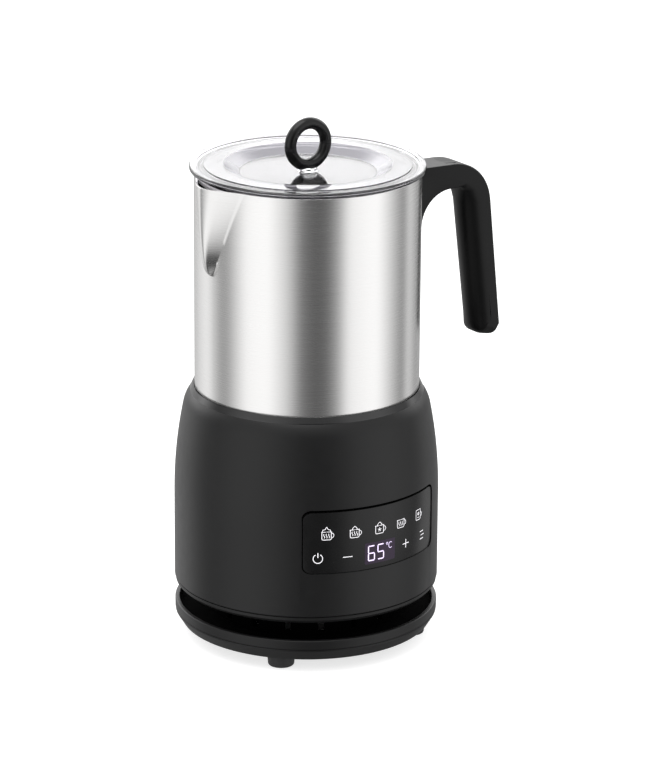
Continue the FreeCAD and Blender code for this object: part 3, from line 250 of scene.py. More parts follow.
def joined(name: str, pieces: Sequence[Piece]) -> Piece:
    """Joins pieces into one.

    Args:
        name: The name of the whole.
        pieces: What it is made of.

    Returns:
        The joined piece.
    """
    activate(pieces[0])
    for piece in pieces[1:]:
        piece.select_set(True)
    if len(pieces) > 1:
        bpy.ops.object.join()
    pieces[0].name = pieces[0].data.name = name
    return pieces[0]


def copy_of(piece: Piece, name: str, move: Sequence[float]) -> Piece:
    """Copies a piece with its own mesh and moves the copy.

    Args:
        piece: What to copy.
        name: The copy's name.
        move: How far the copy stands from the first.

    Returns:
        The copy, at the origin with its place in its mesh.
    """
    twin = piece.copy()
    twin.data = piece.data.copy()
    twin.name = twin.data.name = name
    bpy.context.scene.collection.objects.link(twin)
    twin.data.transform(Matrix.Translation(Vector(move) * MM))
    return twin


def path_mesh(name: str, points: Sequence[Sequence[float]], loop: bool) -> Piece:
    """Draws a line of edges by extruding one vertex from point to point.

    Args:
        name: The piece's name.
        points: The line's points in space.
        loop: Whether the line comes back to its start.

    Returns:
        A mesh of edges only.
    """
    clear_selection()
    bpy.ops.mesh.primitive_plane_add(size=MM, location=Vector(points[0]) * MM)
    piece = named(name)
    route = [Vector(point) * MM for point in points]
    if loop:
        route.append(route[0])
    with editing(piece):
        bpy.ops.mesh.merge(type="CENTER")
        for start, end in zip(route, route[1:]):
            bpy.ops.mesh.extrude_region_move(TRANSFORM_OT_translate={"value": end - start})
        bpy.ops.mesh.select_all(action="SELECT")
        bpy.ops.mesh.remove_doubles(threshold=WELD * MM)
    return piece


def turned(name: str, outline: Sequence[Point], steps: int = FINE) -> Piece:
    """Turns an outline of (radius, height) about the vertical axis, as on a lathe.

    Args:
        name: The piece's name.
        outline: Corners in order; it is closed unless both ends lie on the axis.
        steps: Faces round the axis.

    Returns:
        The closed, smooth-shaded piece.
    """
    on_axis = outline[0][0] < WELD and outline[-1][0] < WELD
    piece = path_mesh(name, [(radius, 0, height) for radius, height in outline], not on_axis)
    with editing(piece):
        bpy.ops.mesh.spin(steps=steps, angle=FULL_TURN, center=(0, 0, 0), axis=(0, 0, 1))
    settle(piece)
    return smoothed(piece)


def eased(corners: Sequence[Sequence[float]], segments: int = 5, closed: bool = True) -> list[Point]:
    """Rounds the corners of an outline.

    Args:
        corners: (across, up) or (across, up, rounding) for each corner.
        segments: Points in a rounded corner.
        closed: Whether the outline comes back to its start.

    Returns:
        The outline's points.
    """
    points: list[Point] = []
    count = len(corners)
    for index, corner in enumerate(corners):
        place = Vector(corner[:2])
        rounding = corner[2] if len(corner) > 2 else 0.0
        if rounding == 0.0 or (not closed and index in (0, count - 1)):
            points.append(tuple(place))
            continue
        back = Vector(corners[index - 1][:2]) - place
        ahead = Vector(corners[(index + 1) % count][:2]) - place
        half = back.angle(ahead) / 2
        reach = min(rounding / math.tan(half), 0.48 * back.length, 0.48 * ahead.length)
        start, end = place + back.normalized() * reach, place + ahead.normalized() * reach
        for step in range(segments + 1):
            t = step / segments
            points.append(tuple(start * (1 - t) ** 2 + place * (2 * t * (1 - t)) + end * t ** 2))
    return points


def bowed(start: Point, end: Point, radius: float, steps: int) -> list[Point]:
    """Points on the short arc between two points, with its centre to the left.

    Args:
        start: First point, which isn't repeated.
        end: Last point.
        radius: The arc's radius.
        steps: Points made.

    Returns:
        The points after the start.
    """
    first, last = Vector(start), Vector(end)
    run = last - first
    across = Vector((-run.y, run.x)).normalized()
    centre = (first + last) / 2 + across * math.sqrt(radius ** 2 - run.length_squared / 4)
    low = math.atan2(first.y - centre.y, first.x - centre.x)
    high = math.atan2(last.y - centre.y, last.x - centre.x)
    return [(centre.x + radius * math.cos(low + (high - low) * step / steps),
             centre.y + radius * math.sin(low + (high - low) * step / steps))
            for step in range(1, steps + 1)]


def slab(name: str, low: Sequence[float], high: Sequence[float]) -> Piece:
    """A square-edged block between two corners.

    Args:
        name: The piece's name.
        low: Lowest corner.
        high: Highest corner.

    Returns:
        The block.
    """
    clear_selection()
    size = Vector(high) - Vector(low)
    bpy.ops.mesh.primitive_cube_add(size=MM, location=(Vector(low) + Vector(high)) / 2 * MM, scale=size)
    return named(name)


def ride(piece: Piece, body: str, finish: "Finish", *nodes: str, slot: str = "") -> Piece:
    """Finishes a piece, hangs it on its body and hides the nodes it replaces.

    Args:
        piece: The finished mesh.
        body: The body it moves with.
        finish: Its material.
        *nodes: The nodes it replaces.
        slot: The record's material slot; not used.

    Returns:
        The same piece.
    """
    piece.data.materials.clear()
    piece.data.materials.append(finish.material())
    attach(piece, body)
    if nodes:
        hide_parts(*nodes)
    LOG.info("%-18s rides on %-12s %6d faces", piece.name, body, len(piece.data.polygons))
    return piece


def flat_shape(name: str, outline: Sequence[Point], depth: float) -> Piece:
    """A plate with an outline in the upright XZ plane, its middle on that plane.

    Args:
        name: The piece's name.
        outline: (x, z) corners in order.
        depth: Thickness along Y.

    Returns:
        The closed plate.
    """
    piece = path_mesh(name, [(x, -depth / 2, z) for x, z in outline], True)
    with editing(piece):
        bpy.ops.mesh.edge_face_add()
        bpy.ops.mesh.extrude_region_move(TRANSFORM_OT_translate={"value": (0, depth * MM, 0)})
    settle(piece)
    return piece


def edge_bevel(piece: Piece, width: float, segments: int, test: Callable[[Vector, Vector], bool]) -> Piece:
    """Rounds the edges that a test picks.

    Args:
        piece: The piece.
        width: Width of the rounding.
        segments: Faces across it.
        test: Says yes to an edge's middle and run.

    Returns:
        The same piece.
    """
    pick(piece, Part.EDGE, test)
    with editing(piece, everything=False):
        bpy.ops.mesh.bevel(offset=width * MM, segments=segments, affect="EDGES")
    settle(piece)
    return piece


def wire(name: str, lines: Sequence[Sequence[Sequence[float]]], thickness: float, sides: int = 2,
         closed: bool = False) -> Piece:
    """Round wires along lines of points, as one mesh.

    Args:
        name: The piece's name.
        lines: The middle line of each wire.
        thickness: Diameter of the wire.
        sides: Fineness of its section.
        closed: Whether each line runs back to its start.

    Returns:
        The wires.
    """
    clear_selection()
    curve = bpy.data.curves.new(name, "CURVE")
    curve.dimensions = "3D"
    curve.bevel_depth = thickness / 2 * MM
    curve.bevel_resolution = sides
    curve.use_fill_caps = True
    for line in lines:
        spline = curve.splines.new("POLY")
        spline.points.add(len(line) - 1)
        for point, place in zip(spline.points, line):
            point.co = (*(Vector(place) * MM), 1)
        spline.use_cyclic_u = closed
    piece = bpy.data.objects.new(name, curve)
    bpy.context.scene.collection.objects.link(piece)
    activate(piece)
    bpy.ops.object.convert(target="MESH")
    piece = named(name)
    settle(piece)
    return smoothed(piece, 50)


def ring(name: str, major: float, minor: float, middle: Sequence[float], upright: bool = False,
         steps: int = MEDIUM) -> Piece:
    """A round ring of round section.

    Args:
        name: The piece's name.
        major: Radius of its middle line.
        minor: Radius of its section.
        middle: Its centre.
        upright: Whether it stands in the XZ plane.
        steps: Faces along it.

    Returns:
        The ring.
    """
    clear_selection()
    turn = (math.pi / 2, 0, 0) if upright else (0, 0, 0)
    bpy.ops.mesh.primitive_torus_add(major_radius=major * MM, minor_radius=minor * MM, major_segments=steps,
                                     minor_segments=32, location=Vector(middle) * MM, rotation=turn)
    return smoothed(named(name), 60)


@dataclass(frozen=True)
class Extent:
    """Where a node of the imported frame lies, in millimetres."""

    low: Vector
    high: Vector

    @classmethod
    def of(cls, node: str) -> "Extent":
        """Measures one node."""
        low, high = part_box(node)
        return cls(low / MM, high / MM)

    @property
    def radius(self) -> float:
        """Radius of a round node."""
        return -self.low.y

    @property
    def bottom(self) -> float:
        """Height of its lowest point."""
        return self.low.z

    @property
    def top(self) -> float:
        """Height of its highest point."""
        return self.high.z


# ---------------------------------------------------------------- finishes


class Tree:
    """Adds and links the nodes of one shader tree."""

    def __init__(self, tree: bpy.types.NodeTree) -> None:
        """Takes the tree to work on."""
        self.tree = tree

    def add(self, kind: str, inputs: dict[str | int, object] | None = None,
            **options: object) -> bpy.types.Node:
        """Adds a node.

        Args:
            kind: Its type, without the ShaderNode in front.
            inputs: Sockets to link or values to set, by input name or number.
            **options: The node's own properties.

        Returns:
            The node.
        """
        node = self.tree.nodes.new("ShaderNode" + kind)
        for key, value in options.items():
            setattr(node, key, value)
        for key, value in (inputs or {}).items():
            self.feed(node.inputs[key], value)
        return node

    def feed(self, socket: bpy.types.NodeSocket, value: object) -> None:
        """Links a socket or sets its value.

        Args:
            socket: The input.
            value: An output socket, or a plain value.
        """
        if isinstance(value, bpy.types.NodeSocket):
            self.tree.links.new(value, socket)
        else:
            socket.default_value = value

    def maths(self, operation: str, first: object, second: object = 0.0) -> bpy.types.NodeSocket:
        """Works out one sum.

        Args:
            operation: Blender's name for it.
            first: First value or socket.
            second: Second value or socket.

        Returns:
            The result's socket.
        """
        return self.add("Math", {0: first, 1: second}, operation=operation).outputs[0]

    def between(self, value: object, low: object = 0.0, high: object = 1.0, start: float = 0.0,
                end: float = 1.0) -> bpy.types.NodeSocket:
        """Spreads a value over a range that is held at both ends.

        Args:
            value: The value.
            low: Result at the start.
            high: Result at the end.
            start: Value that gives the low result.
            end: Value that gives the high result.

        Returns:
            The result's socket.
        """
        return self.add("MapRange", {"Value": value, "From Min": start, "From Max": end, "To Min": low,
                                     "To Max": high}).outputs[0]

    def facing_up(self) -> bpy.types.NodeSocket:
        """How far the surface faces up, from -1 to 1."""
        return self.add("SeparateXYZ", {0: self.add("NewGeometry").outputs["Normal"]}).outputs["Z"]

    def blend(self, share: object, first: object, second: object) -> bpy.types.NodeSocket:
        """Mixes two colours.

        Args:
            share: How much of the second.
            first: First colour.
            second: Second colour.

        Returns:
            The mixed colour's socket.
        """
        node = self.add("Mix", data_type="RGBA")
        self.feed(node.inputs[0], share)
        self.feed(node.inputs[6], first)
        self.feed(node.inputs[7], second)
        return node.outputs[2]


class Effect(Enum):
    """Shared surface effects, each one node group with a Shade and a Height output."""

    MOULDED = "moulded_grain"
    BRUSHED = "brushed_lines"
    POLISHED = "polish_haze"
    DUST = "settled_dust"
    # Painted shade: darker on steep faces.
    EDGE_DEPTH = "edge_depth"

    def group(self) -> bpy.types.NodeTree:
        """Gives the effect's node group, built the first time.

        Returns:
            The group, with inputs Size and Stretch and outputs Shade and Height.
        """
        known = bpy.data.node_groups.get(self.value)
        if known:
            return known
        group = bpy.data.node_groups.new(self.value, "ShaderNodeTree")
        group.interface.new_socket("Size", in_out="INPUT", socket_type="NodeSocketFloat")
        group.interface.new_socket("Stretch", in_out="INPUT", socket_type="NodeSocketVector")
        group.interface.new_socket("Shade", in_out="OUTPUT", socket_type="NodeSocketFloat")
        group.interface.new_socket("Height", in_out="OUTPUT", socket_type="NodeSocketFloat")
        tree = Tree(group)
        entry = group.nodes.new("NodeGroupInput")
        leave = group.nodes.new("NodeGroupOutput")
        place = tree.add("TexCoord").outputs["Object"]
        size, stretch = entry.outputs["Size"], entry.outputs["Stretch"]
        drawn = tree.add("VectorMath", {0: place, 1: stretch}, operation="MULTIPLY").outputs[0]
        fine = tree.add("TexNoise", {"Vector": drawn, "Scale": size, "Detail": 3.0}).outputs["Fac"]
        coarse = tree.add("TexNoise", {"Vector": drawn, "Scale": tree.maths("DIVIDE", size, 9.0),
                                       "Detail": 2.0}).outputs["Fac"]
        if self is Effect.MOULDED:
            pits = tree.add("TexVoronoi", {"Vector": drawn, "Scale": size}).outputs["Distance"]
            shade = tree.between(coarse, 0.1, 0.9)
            height = tree.maths("ADD", tree.maths("MULTIPLY", pits, 0.6), tree.maths("MULTIPLY", fine, 0.4))
        elif self is Effect.BRUSHED:
            finer = tree.add("TexNoise", {"Vector": drawn, "Scale": tree.maths("MULTIPLY", size, 3.7),
                                          "Detail": 2.0}).outputs["Fac"]
            shade = tree.maths("ADD", tree.maths("MULTIPLY", fine, 0.5), tree.maths("MULTIPLY", finer, 0.5))
            height = shade
        elif self is Effect.POLISHED:
            shade, height = coarse, fine
        elif self is Effect.EDGE_DEPTH:
            # Painted shade: strongest where the surface is steep, broken up a little by noise.
            steep = tree.between(tree.maths("ABSOLUTE", tree.facing_up()), start=0.9, end=0.35)
            shade = tree.maths("MULTIPLY", steep, tree.between(coarse, 0.75, 1.0))
            height = fine
        else:
            flat = tree.between(tree.facing_up(), start=0.4)
            specks = tree.between(fine, start=0.5, end=0.8)
            shade = tree.maths("MULTIPLY", flat, tree.maths("ADD", specks, tree.maths("MULTIPLY", coarse, 0.5)))
            height = specks
        tree.feed(leave.inputs["Shade"], shade)
        tree.feed(leave.inputs["Height"], height)
        return group


@dataclass(frozen=True)
class Finish:
    """One material: a colour and gloss that vary with a shared effect, and a fine relief."""

    name: str
    colour: Colour
    roughness: float
    effect: Effect = Effect.MOULDED
    grain: float = 0.5
    stretch: Colour = (1.0, 1.0, 1.0)
    relief: float = 0.004
    shade: float = 0.12
    haze: float = 0.05
    dust: float = 0.0
    metallic: float = 0.0
    specular: float = 0.5
    anisotropic: float = 0.0

    def material(self) -> bpy.types.Material:
        """Builds the material once.

        Returns:
            The material.
        """
        known = bpy.data.materials.get("finish_" + self.name)
        if known:
            return known
        made = bpy.data.materials.new("finish_" + self.name)
        made.use_nodes = True
        tree = Tree(made.node_tree)
        shader = made.node_tree.nodes["Principled BSDF"]
        self.dress(tree, shader)
        return made

    def effect_node(self, tree: Tree, effect: Effect, grain: float, stretch: Colour) -> bpy.types.Node:
        """Places a shared effect in this material.

        Args:
            tree: The material's tree.
            effect: Which effect.
            grain: Size of its marks in millimetres.
            stretch: How far they are drawn out along each axis.

        Returns:
            The group's node.
        """
        node = tree.tree.nodes.new("ShaderNodeGroup")
        node.node_tree = effect.group()
        node.inputs["Size"].default_value = 1.0 / (grain * MM)
        node.inputs["Stretch"].default_value = [1.0 / axis for axis in stretch]
        return node

    def dress(self, tree: Tree, shader: bpy.types.Node) -> None:
        """Sets the shader's plain sockets and feeds the ones that vary.

        Args:
            tree: The material's tree.
            shader: Its Principled BSDF.
        """
        marks = self.effect_node(tree, self.effect, self.grain, self.stretch)
        darker = [channel * (1 - self.shade) for channel in self.colour] + [1]
        lighter = [min(1.0, channel * (1 + self.shade)) for channel in self.colour] + [1]
        colour = tree.blend(marks.outputs["Shade"], darker, lighter)
        rough = tree.between(marks.outputs["Shade"], max(0.01, self.roughness - self.haze),
                             min(1.0, self.roughness + self.haze))
        if self.dust:
            specks = self.effect_node(tree, Effect.DUST, 0.9, (1, 1, 1))
            share = tree.maths("MULTIPLY", specks.outputs["Shade"], self.dust)
            colour = tree.blend(share, colour, (0.42, 0.41, 0.4, 1))
            rough = tree.maths("ADD", rough, tree.maths("MULTIPLY", share, 0.3))
        tree.feed(shader.inputs["Base Color"], colour)
        tree.feed(shader.inputs["Roughness"], rough)
        if self.relief:
            bump = tree.add("Bump", {"Height": marks.outputs["Height"], "Distance": self.relief * MM,
                                     "Strength": 1.0})
            tree.feed(shader.inputs["Normal"], bump.outputs["Normal"])
        for socket, value in {"Metallic": self.metallic, "Specular IOR Level": self.specular,
                              "Anisotropic": self.anisotropic, "Anisotropic Rotation": QUARTER}.items():
            shader.inputs[socket].default_value = value
        if self.anisotropic:
            round_axis = tree.add("Tangent", direction_type="RADIAL", axis="Z")
            tree.feed(shader.inputs["Tangent"], round_axis.outputs[0])


@dataclass(frozen=True)
class ClearFinish(Finish):
    """See-through plastic with a faint tint, and painted shade that darkens its steep faces."""

    transmission: float = 1.0
    # Colour of the painted shade on steep faces.
    edge: Colour = (0.07, 0.066, 0.075)

    def dress(self, tree: Tree, shader: bpy.types.Node) -> None:
        """Adds the painted shade on steep faces and the plain transmission to the common sockets.

        Args:
            tree: The material's tree.
            shader: Its Principled BSDF.
        """
        super().dress(tree, shader)
        # Painted shade: steep faces are blended towards the dark edge colour.
        depth = self.effect_node(tree, Effect.EDGE_DEPTH, 4.0, (1, 1, 1)).outputs["Shade"]
        body = shader.inputs["Base Color"].links[0].from_socket
        tree.feed(shader.inputs["Base Color"], tree.blend(depth, body, (*self.edge, 1)))
        shader.inputs["Transmission Weight"].default_value = self.transmission
        shader.inputs["IOR"].default_value = 1.5


@dataclass(frozen=True)
class LitFinish(Finish):
    """A lit mark that gives off its own light."""

    glow: float = 1.0

    def dress(self, tree: Tree, shader: bpy.types.Node) -> None:
        """Adds an even glow whose colour varies a little.

        Args:
            tree: The material's tree.
            shader: Its Principled BSDF.
        """
        super().dress(tree, shader)
        link = shader.inputs["Base Color"].links[0]
        tree.feed(shader.inputs["Emission Color"], link.from_socket)
        shader.inputs["Emission Strength"].default_value = self.glow


def black(name: str, level: float, roughness: float, **more: object) -> Finish:
    """A black plastic or rubber.

    Args:
        name: Its name.
        level: How light it is.
        roughness: How dull it is.
        **more: Other fields of the finish.

    Returns:
        The finish.
    """
    return Finish(name, (level, level, level * 1.03), roughness, **more)


HOOPS = (220.0, 220.0, 1.0)
BODY_BLACK = black("body_black", 0.006, 0.38, grain=0.55, relief=0.004, specular=0.25, dust=0.004)
BASE_BLACK = black("base_plastic", 0.005, 0.42, grain=0.6, relief=0.005, specular=0.25)
GLOSS_BLACK = black("gloss_black", 0.008, 0.16, effect=Effect.POLISHED, relief=0.0, haze=0.04)
PANEL_BLACK = black("panel_black", 0.005, 0.24, effect=Effect.POLISHED, relief=0.0, haze=0.05, specular=0.25)
HANDLE_BLACK = black("handle_black", 0.004, 0.34, grain=0.5, relief=0.003, specular=0.14)
RUBBER = black("rubber_black", 0.018, 0.62, grain=0.4, relief=0.012, specular=0.3)
KNOB_BLACK = black("knob_black", 0.004, 0.2, grain=0.4, relief=0.002, specular=0.25)
SEAL = Finish("seal_rubber", (0.5, 0.49, 0.5), 0.5, grain=0.4, relief=0.006)
STEEL = Finish("jug_steel", (0.66, 0.655, 0.65), 0.26, Effect.BRUSHED, 0.22, HOOPS, 0.0009, 0.1, 0.07,
               metallic=1.0, anisotropic=0.55)
PLATE_STEEL = Finish("platform_steel", (0.4, 0.4, 0.395), 0.34, Effect.BRUSHED, 0.3, HOOPS, 0.0015, 0.08, 0.07,
                     metallic=1.0, anisotropic=0.4)
ZINC = Finish("zinc_steel", (0.55, 0.56, 0.58), 0.36, Effect.MOULDED, 0.9, relief=0.003, shade=0.14, haze=0.1,
              metallic=1.0)
CHROME = Finish("chrome_trim", (0.82, 0.82, 0.83), 0.08, Effect.POLISHED, 2.0, relief=0.0, shade=0.03, haze=0.03,
                metallic=1.0)
CLEAR = ClearFinish("clear_plastic", (0.93, 0.92, 0.95), 0.04, Effect.POLISHED, 3.0, relief=0.0, shade=0.02,
                    haze=0.02)
# A darker, rougher and less clear copy of the lid's plastic for the dish slope; the darker colour is painted shade.
SHADED_SLOPE_CLEAR = ClearFinish("frosted_slope", (0.6, 0.59, 0.64), 0.12, Effect.POLISHED, 3.0, relief=0.0, shade=0.04,
                      haze=0.03, transmission=0.6)
COPPER = Finish("copper_wire", (0.72, 0.33, 0.16), 0.3, Effect.MOULDED, 0.8, relief=0.003, metallic=1.0)
FERRITE = Finish("ferrite", (0.05, 0.05, 0.055), 0.6, grain=0.4, relief=0.02)
NICKEL = Finish("magnet_nickel", (0.62, 0.6, 0.56), 0.2, Effect.POLISHED, 1.0, relief=0.0, metallic=1.0)
BOARD = Finish("circuit_board", (0.02, 0.14, 0.06), 0.4, grain=1.4, relief=0.01, shade=0.25)
SINK = Finish("sink_aluminium", (0.7, 0.7, 0.71), 0.34, Effect.BRUSHED, 0.3, (60.0, 60.0, 1.0), 0.002, metallic=1.0)
SHADOW_BLACK = black("shadow_black", 0.001, 0.9, specular=0.02)
# The handle bracket's steel, darkened to near black: a painted dark reflection.
BRACKET = Finish("bracket_steel", (0.1, 0.1, 0.1), 0.3, Effect.BRUSHED, 0.3, (1.0, 60.0, 60.0), 0.001, metallic=1.0)
DISPLAY = Finish("display_purple", (0.02, 0.011, 0.026), 0.14, Effect.POLISHED, 1.5, relief=0.0, specular=0.2)
DIGITS = LitFinish("display_digits", (0.7, 0.6, 0.84), 0.4, Effect.POLISHED, 1.0, relief=0.0, shade=0.05, glow=0.7)
# Printed marks, with a faint painted glow on top of their colour so that they read brighter.
PRINT_PAINTED_GLOW = LitFinish("panel_print", (0.8, 0.79, 0.82), 0.5, Effect.MOULDED, 0.3, relief=0.0, shade=0.08, glow=0.3)
FLOOR_PAPER = LitFinish("floor_paper", (0.5, 0.5, 0.5), 0.9, Effect.MOULDED, 1.2, relief=0.0, shade=0.01,
                        specular=0.0, glow=1.45)

KEPT_NODES: tuple[tuple[Finish, str], ...] = (
    (BASE_BLACK, "base_pan chassis_plate coil_carrier fan_frame board_posts fan_impeller rotor_hub"),
    (SHADOW_BLACK, "vent_neck"),
    (GLOSS_BLACK, "well_liner power_capacitors display_module"),
    (RUBBER, "cord_gland"),
    (PLATE_STEEL, "heating_platform sensor_cap jug_base_disc whisk_spindle"),
    (ZINC, "foot_screws chassis_screws carrier_screws motor_bracket motor_can motor_screws fan_screws "
           "motor_shaft handle_screws knob_washer knob_screw"),
    (FERRITE, "ferrite_bars"),
    (NICKEL, "rotor_magnets whisk_magnets"),
    (BOARD, "power_board touch_board"),
    (SINK, "heat_sink"),
    (BRACKET, "handle_bracket"),
)


def dress_kept_nodes() -> None:
    """Gives every node that stays in view its finish."""
    for finish, nodes in KEPT_NODES:
        for node in nodes.split():
            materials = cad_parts[node].data.materials
            materials.clear()
            materials.append(finish.material())
            LOG.info("%-18s keeps its shape in %s", node, finish.name)


# ---------------------------------------------------------------- body, window and panel


@dataclass
class BodyWall:
    """The stand's side: straight below, drawn in along a shoulder and a crown."""

    straight: float = Extent.of("body_shell").radius
    bottom: float = Extent.of("body_shell").bottom
    rim: float = Extent.of("body_shell").top
    shoulder: float = 73.2
    shoulder_radius: float = 225.0
    crown: float = 118.0
    crown_radius: float = 16.0
    neck: float = Extent.of("well_liner").radius
    liner: float = 56.5
    wall: float = 2.5

    def radius_at(self, height: float) -> float:
        """Radius of the surface at a height up to the crown."""
        rise = max(0.0, height - self.shoulder)
        return self.straight - self.shoulder_radius + math.sqrt(self.shoulder_radius ** 2 - rise ** 2)

    def wrapped(self, piece: Piece, middle: float, level: float, proud: float) -> Piece:
        """Wraps a flat drawing in the XZ plane on the round wall.

        Args:
            piece: The drawing, with its own middle at the origin.
            middle: Azimuth of its middle from the front, in degrees.
            level: Height of its middle.
            proud: How far its base stands out of the wall; negative is behind it.

        Returns:
            The same piece.
        """
        for vertex in piece.data.vertices:
            across, depth, up = vertex.co / MM
            height = level + up
            radius = self.radius_at(height) + proud - depth
            angle = math.radians(middle) + across / (self.radius_at(height) + proud)
            vertex.co = Vector((radius * math.sin(angle), -radius * math.cos(angle), height)) * MM
        return piece

    def band(self, name: str, outside: float, inside: float, low: float, high: float) -> Piece:
        """A ring that follows the wall between two depths.

        Args:
            name: Its name.
            outside: Depth of its outer face behind the surface.
            inside: Depth of its inner face.
            low: Its lower edge.
            high: Its upper edge.

        Returns:
            The ring.
        """
        levels = [low, high]
        if high > self.shoulder:
            levels = [low] + [self.shoulder + (high - self.shoulder) * share / 4 for share in range(5)]
        outer = [(self.radius_at(level) - outside, level) for level in levels]
        inner = [(self.radius_at(level) - inside, level) for level in reversed(levels)]
        return turned(name, outer + inner)


@dataclass
class Window:
    """The opening in the wall that the panel fills."""

    left: float = Extent.of("panel_cover").low.x + 2.0
    right: float = Extent.of("panel_cover").high.x - 2.0
    bottom: float = Extent.of("panel_cover").bottom + 2.0
    top: float = Extent.of("panel_cover").top - 2.0
    corner: float = 4.0

    def plug(self, name: str, margin: float, slit: Point = (0.0, 0.0)) -> Piece:
        """A rounded block through the front of the wall.

        Args:
            name: Its name.
            margin: How far it is larger than the opening.
            slit: How much it is smaller at the left and at the top, as two numbers.

        Returns:
            The block.
        """
        block = slab(name, (self.left - margin + slit[0], -80, self.bottom - margin),
                     (self.right + margin, -20, self.top + margin - slit[1]))
        return edge_bevel(block, self.corner + margin, 8, lambda place, run: abs(run.y) > 0.9)


@dataclass
class Body:
    """The satin black stand wall with its window."""

    wall: BodyWall
    window: Window
    edge: float = 0.45

    def build(self) -> None:
        """Turns the wall on the lathe and cuts the window."""
        wall = self.wall
        outer = [(wall.straight - 0.5, wall.bottom), (wall.straight, wall.bottom + 0.5),
                 (wall.straight, wall.shoulder)]
        crown = (wall.radius_at(wall.crown), wall.crown)
        outer += bowed(outer[-1], crown, wall.shoulder_radius, 14)
        outer += bowed(crown, (wall.neck, wall.rim), wall.crown_radius, 7)
        inner = [(wall.liner + 0.05, wall.rim - 0.3), (wall.liner + 0.05, wall.rim - 4),
                 (wall.radius_at(wall.crown) - wall.wall, wall.crown - 4),
                 (wall.straight - wall.wall, wall.shoulder), (wall.straight - wall.wall, wall.bottom)]
        shell = turned("body_wall", outer + inner)
        carve(shell, self.window.plug("window_tool", 0.0), Cut.AWAY)
        softened(shell, self.edge, 50)
        ride(shell, "base", BODY_BLACK, "body_shell", slot="body_black")


def arc(middle: Point, radius: float, start: float, end: float, steps: int = 10) -> Stroke:
    """Points on an arc of a flat drawing.

    Args:
        middle: Its centre.
        radius: Its radius.
        start: First angle in degrees.
        end: Last angle in degrees.
        steps: Runs along it.

    Returns:
        The points.
    """
    return [(middle[0] + radius * math.cos(math.radians(start + (end - start) * step / steps)),
             middle[1] + radius * math.sin(math.radians(start + (end - start) * step / steps)))
            for step in range(steps + 1)]


def steam(x: float, low: float, high: float) -> Stroke:
    """A short upright wave of a flat drawing."""
    return [(x + 0.28 * math.sin(math.pi * 2 * step / 8), low + (high - low) * step / 8) for step in range(9)]


class Mark(Enum):
    """The touch marks, each a drawing of strokes in millimetres about its middle."""

    TALL_FOAM = "tall_foam"
    LOW_FOAM = "low_foam"
    COLD_FOAM = "cold_foam"
    WARM_MILK = "warm_milk"
    COCOA = "cocoa"
    POWER = "power"
    LESS = "less"
    MORE = "more"
    MENU = "menu"

    def strokes(self) -> list[Stroke]:
        """Draws the mark.

        Returns:
            Its strokes.
        """
        mug = [eased([(-2.9, 0.6), (-2.9, -3.4, 0.9), (1.7, -3.4, 0.9), (1.7, 0.6)], closed=False),
               arc((1.7, -1.2), 1.25, 80, -80), [(-3.2, 0.6), (2.0, 0.6)]]
        waves = [steam(x, -2.5, -0.3) for x in (-1.8, -0.6, 0.6)]
        star = [[(-0.6, -1.4), (-0.6 + 1.05 * math.sin(turn), -1.4 + 1.05 * math.cos(turn))]
                for turn in (FULL_TURN * ray / 5 for ray in range(5))]
        tall = eased([(-2.5, 0.6), (-2.6, 1.6, 0.6), (-1.3, 1.9, 0.5), (-0.6, 3.4, 0.5), (0.1, 1.9, 0.5),
                      (1.4, 1.6, 0.6), (1.3, 0.6)], closed=False)
        low = eased([(-1.9, 0.6), (-1.8, 1.3, 0.4), (-0.6, 2.5, 0.5), (0.6, 1.3, 0.4), (0.7, 0.6)], closed=False)
        return {
            Mark.TALL_FOAM: mug + waves + [tall],
            Mark.LOW_FOAM: mug + waves + [low],
            Mark.COLD_FOAM: mug + star + [low],
            Mark.WARM_MILK: mug + waves,
            Mark.COCOA: [eased([(-2.4, 1.9), (-2.4, -3.2, 0.8), (1.6, -3.2, 0.8), (1.6, 1.9)], closed=False),
                         [(-2.4, 1.9), (1.6, 1.9)], arc((1.6, -0.8), 1.1, 80, -80), [(-1.3, -2.0), (0.5, -2.0)],
                         arc((-0.4, -0.1), 0.7, 0, 360, 12), [(-0.4, -0.8), (-0.4, 0.6)]],
            Mark.POWER: [arc((0, 0), 2.3, 60, -240, 24), [(0, 0.5), (0, 2.9)]],
            Mark.LESS: [[(-2.4, 0), (2.4, 0)]],
            Mark.MORE: [[(-2.2, 0), (2.2, 0)], [(0, -2.2), (0, 2.2)]],
            Mark.MENU: [[(-1.9, 1.9), (1.3, 1.9)], [(-1.2, 0), (2.0, 0)], [(-1.9, -1.9), (1.3, -1.9)]],
        }[self]


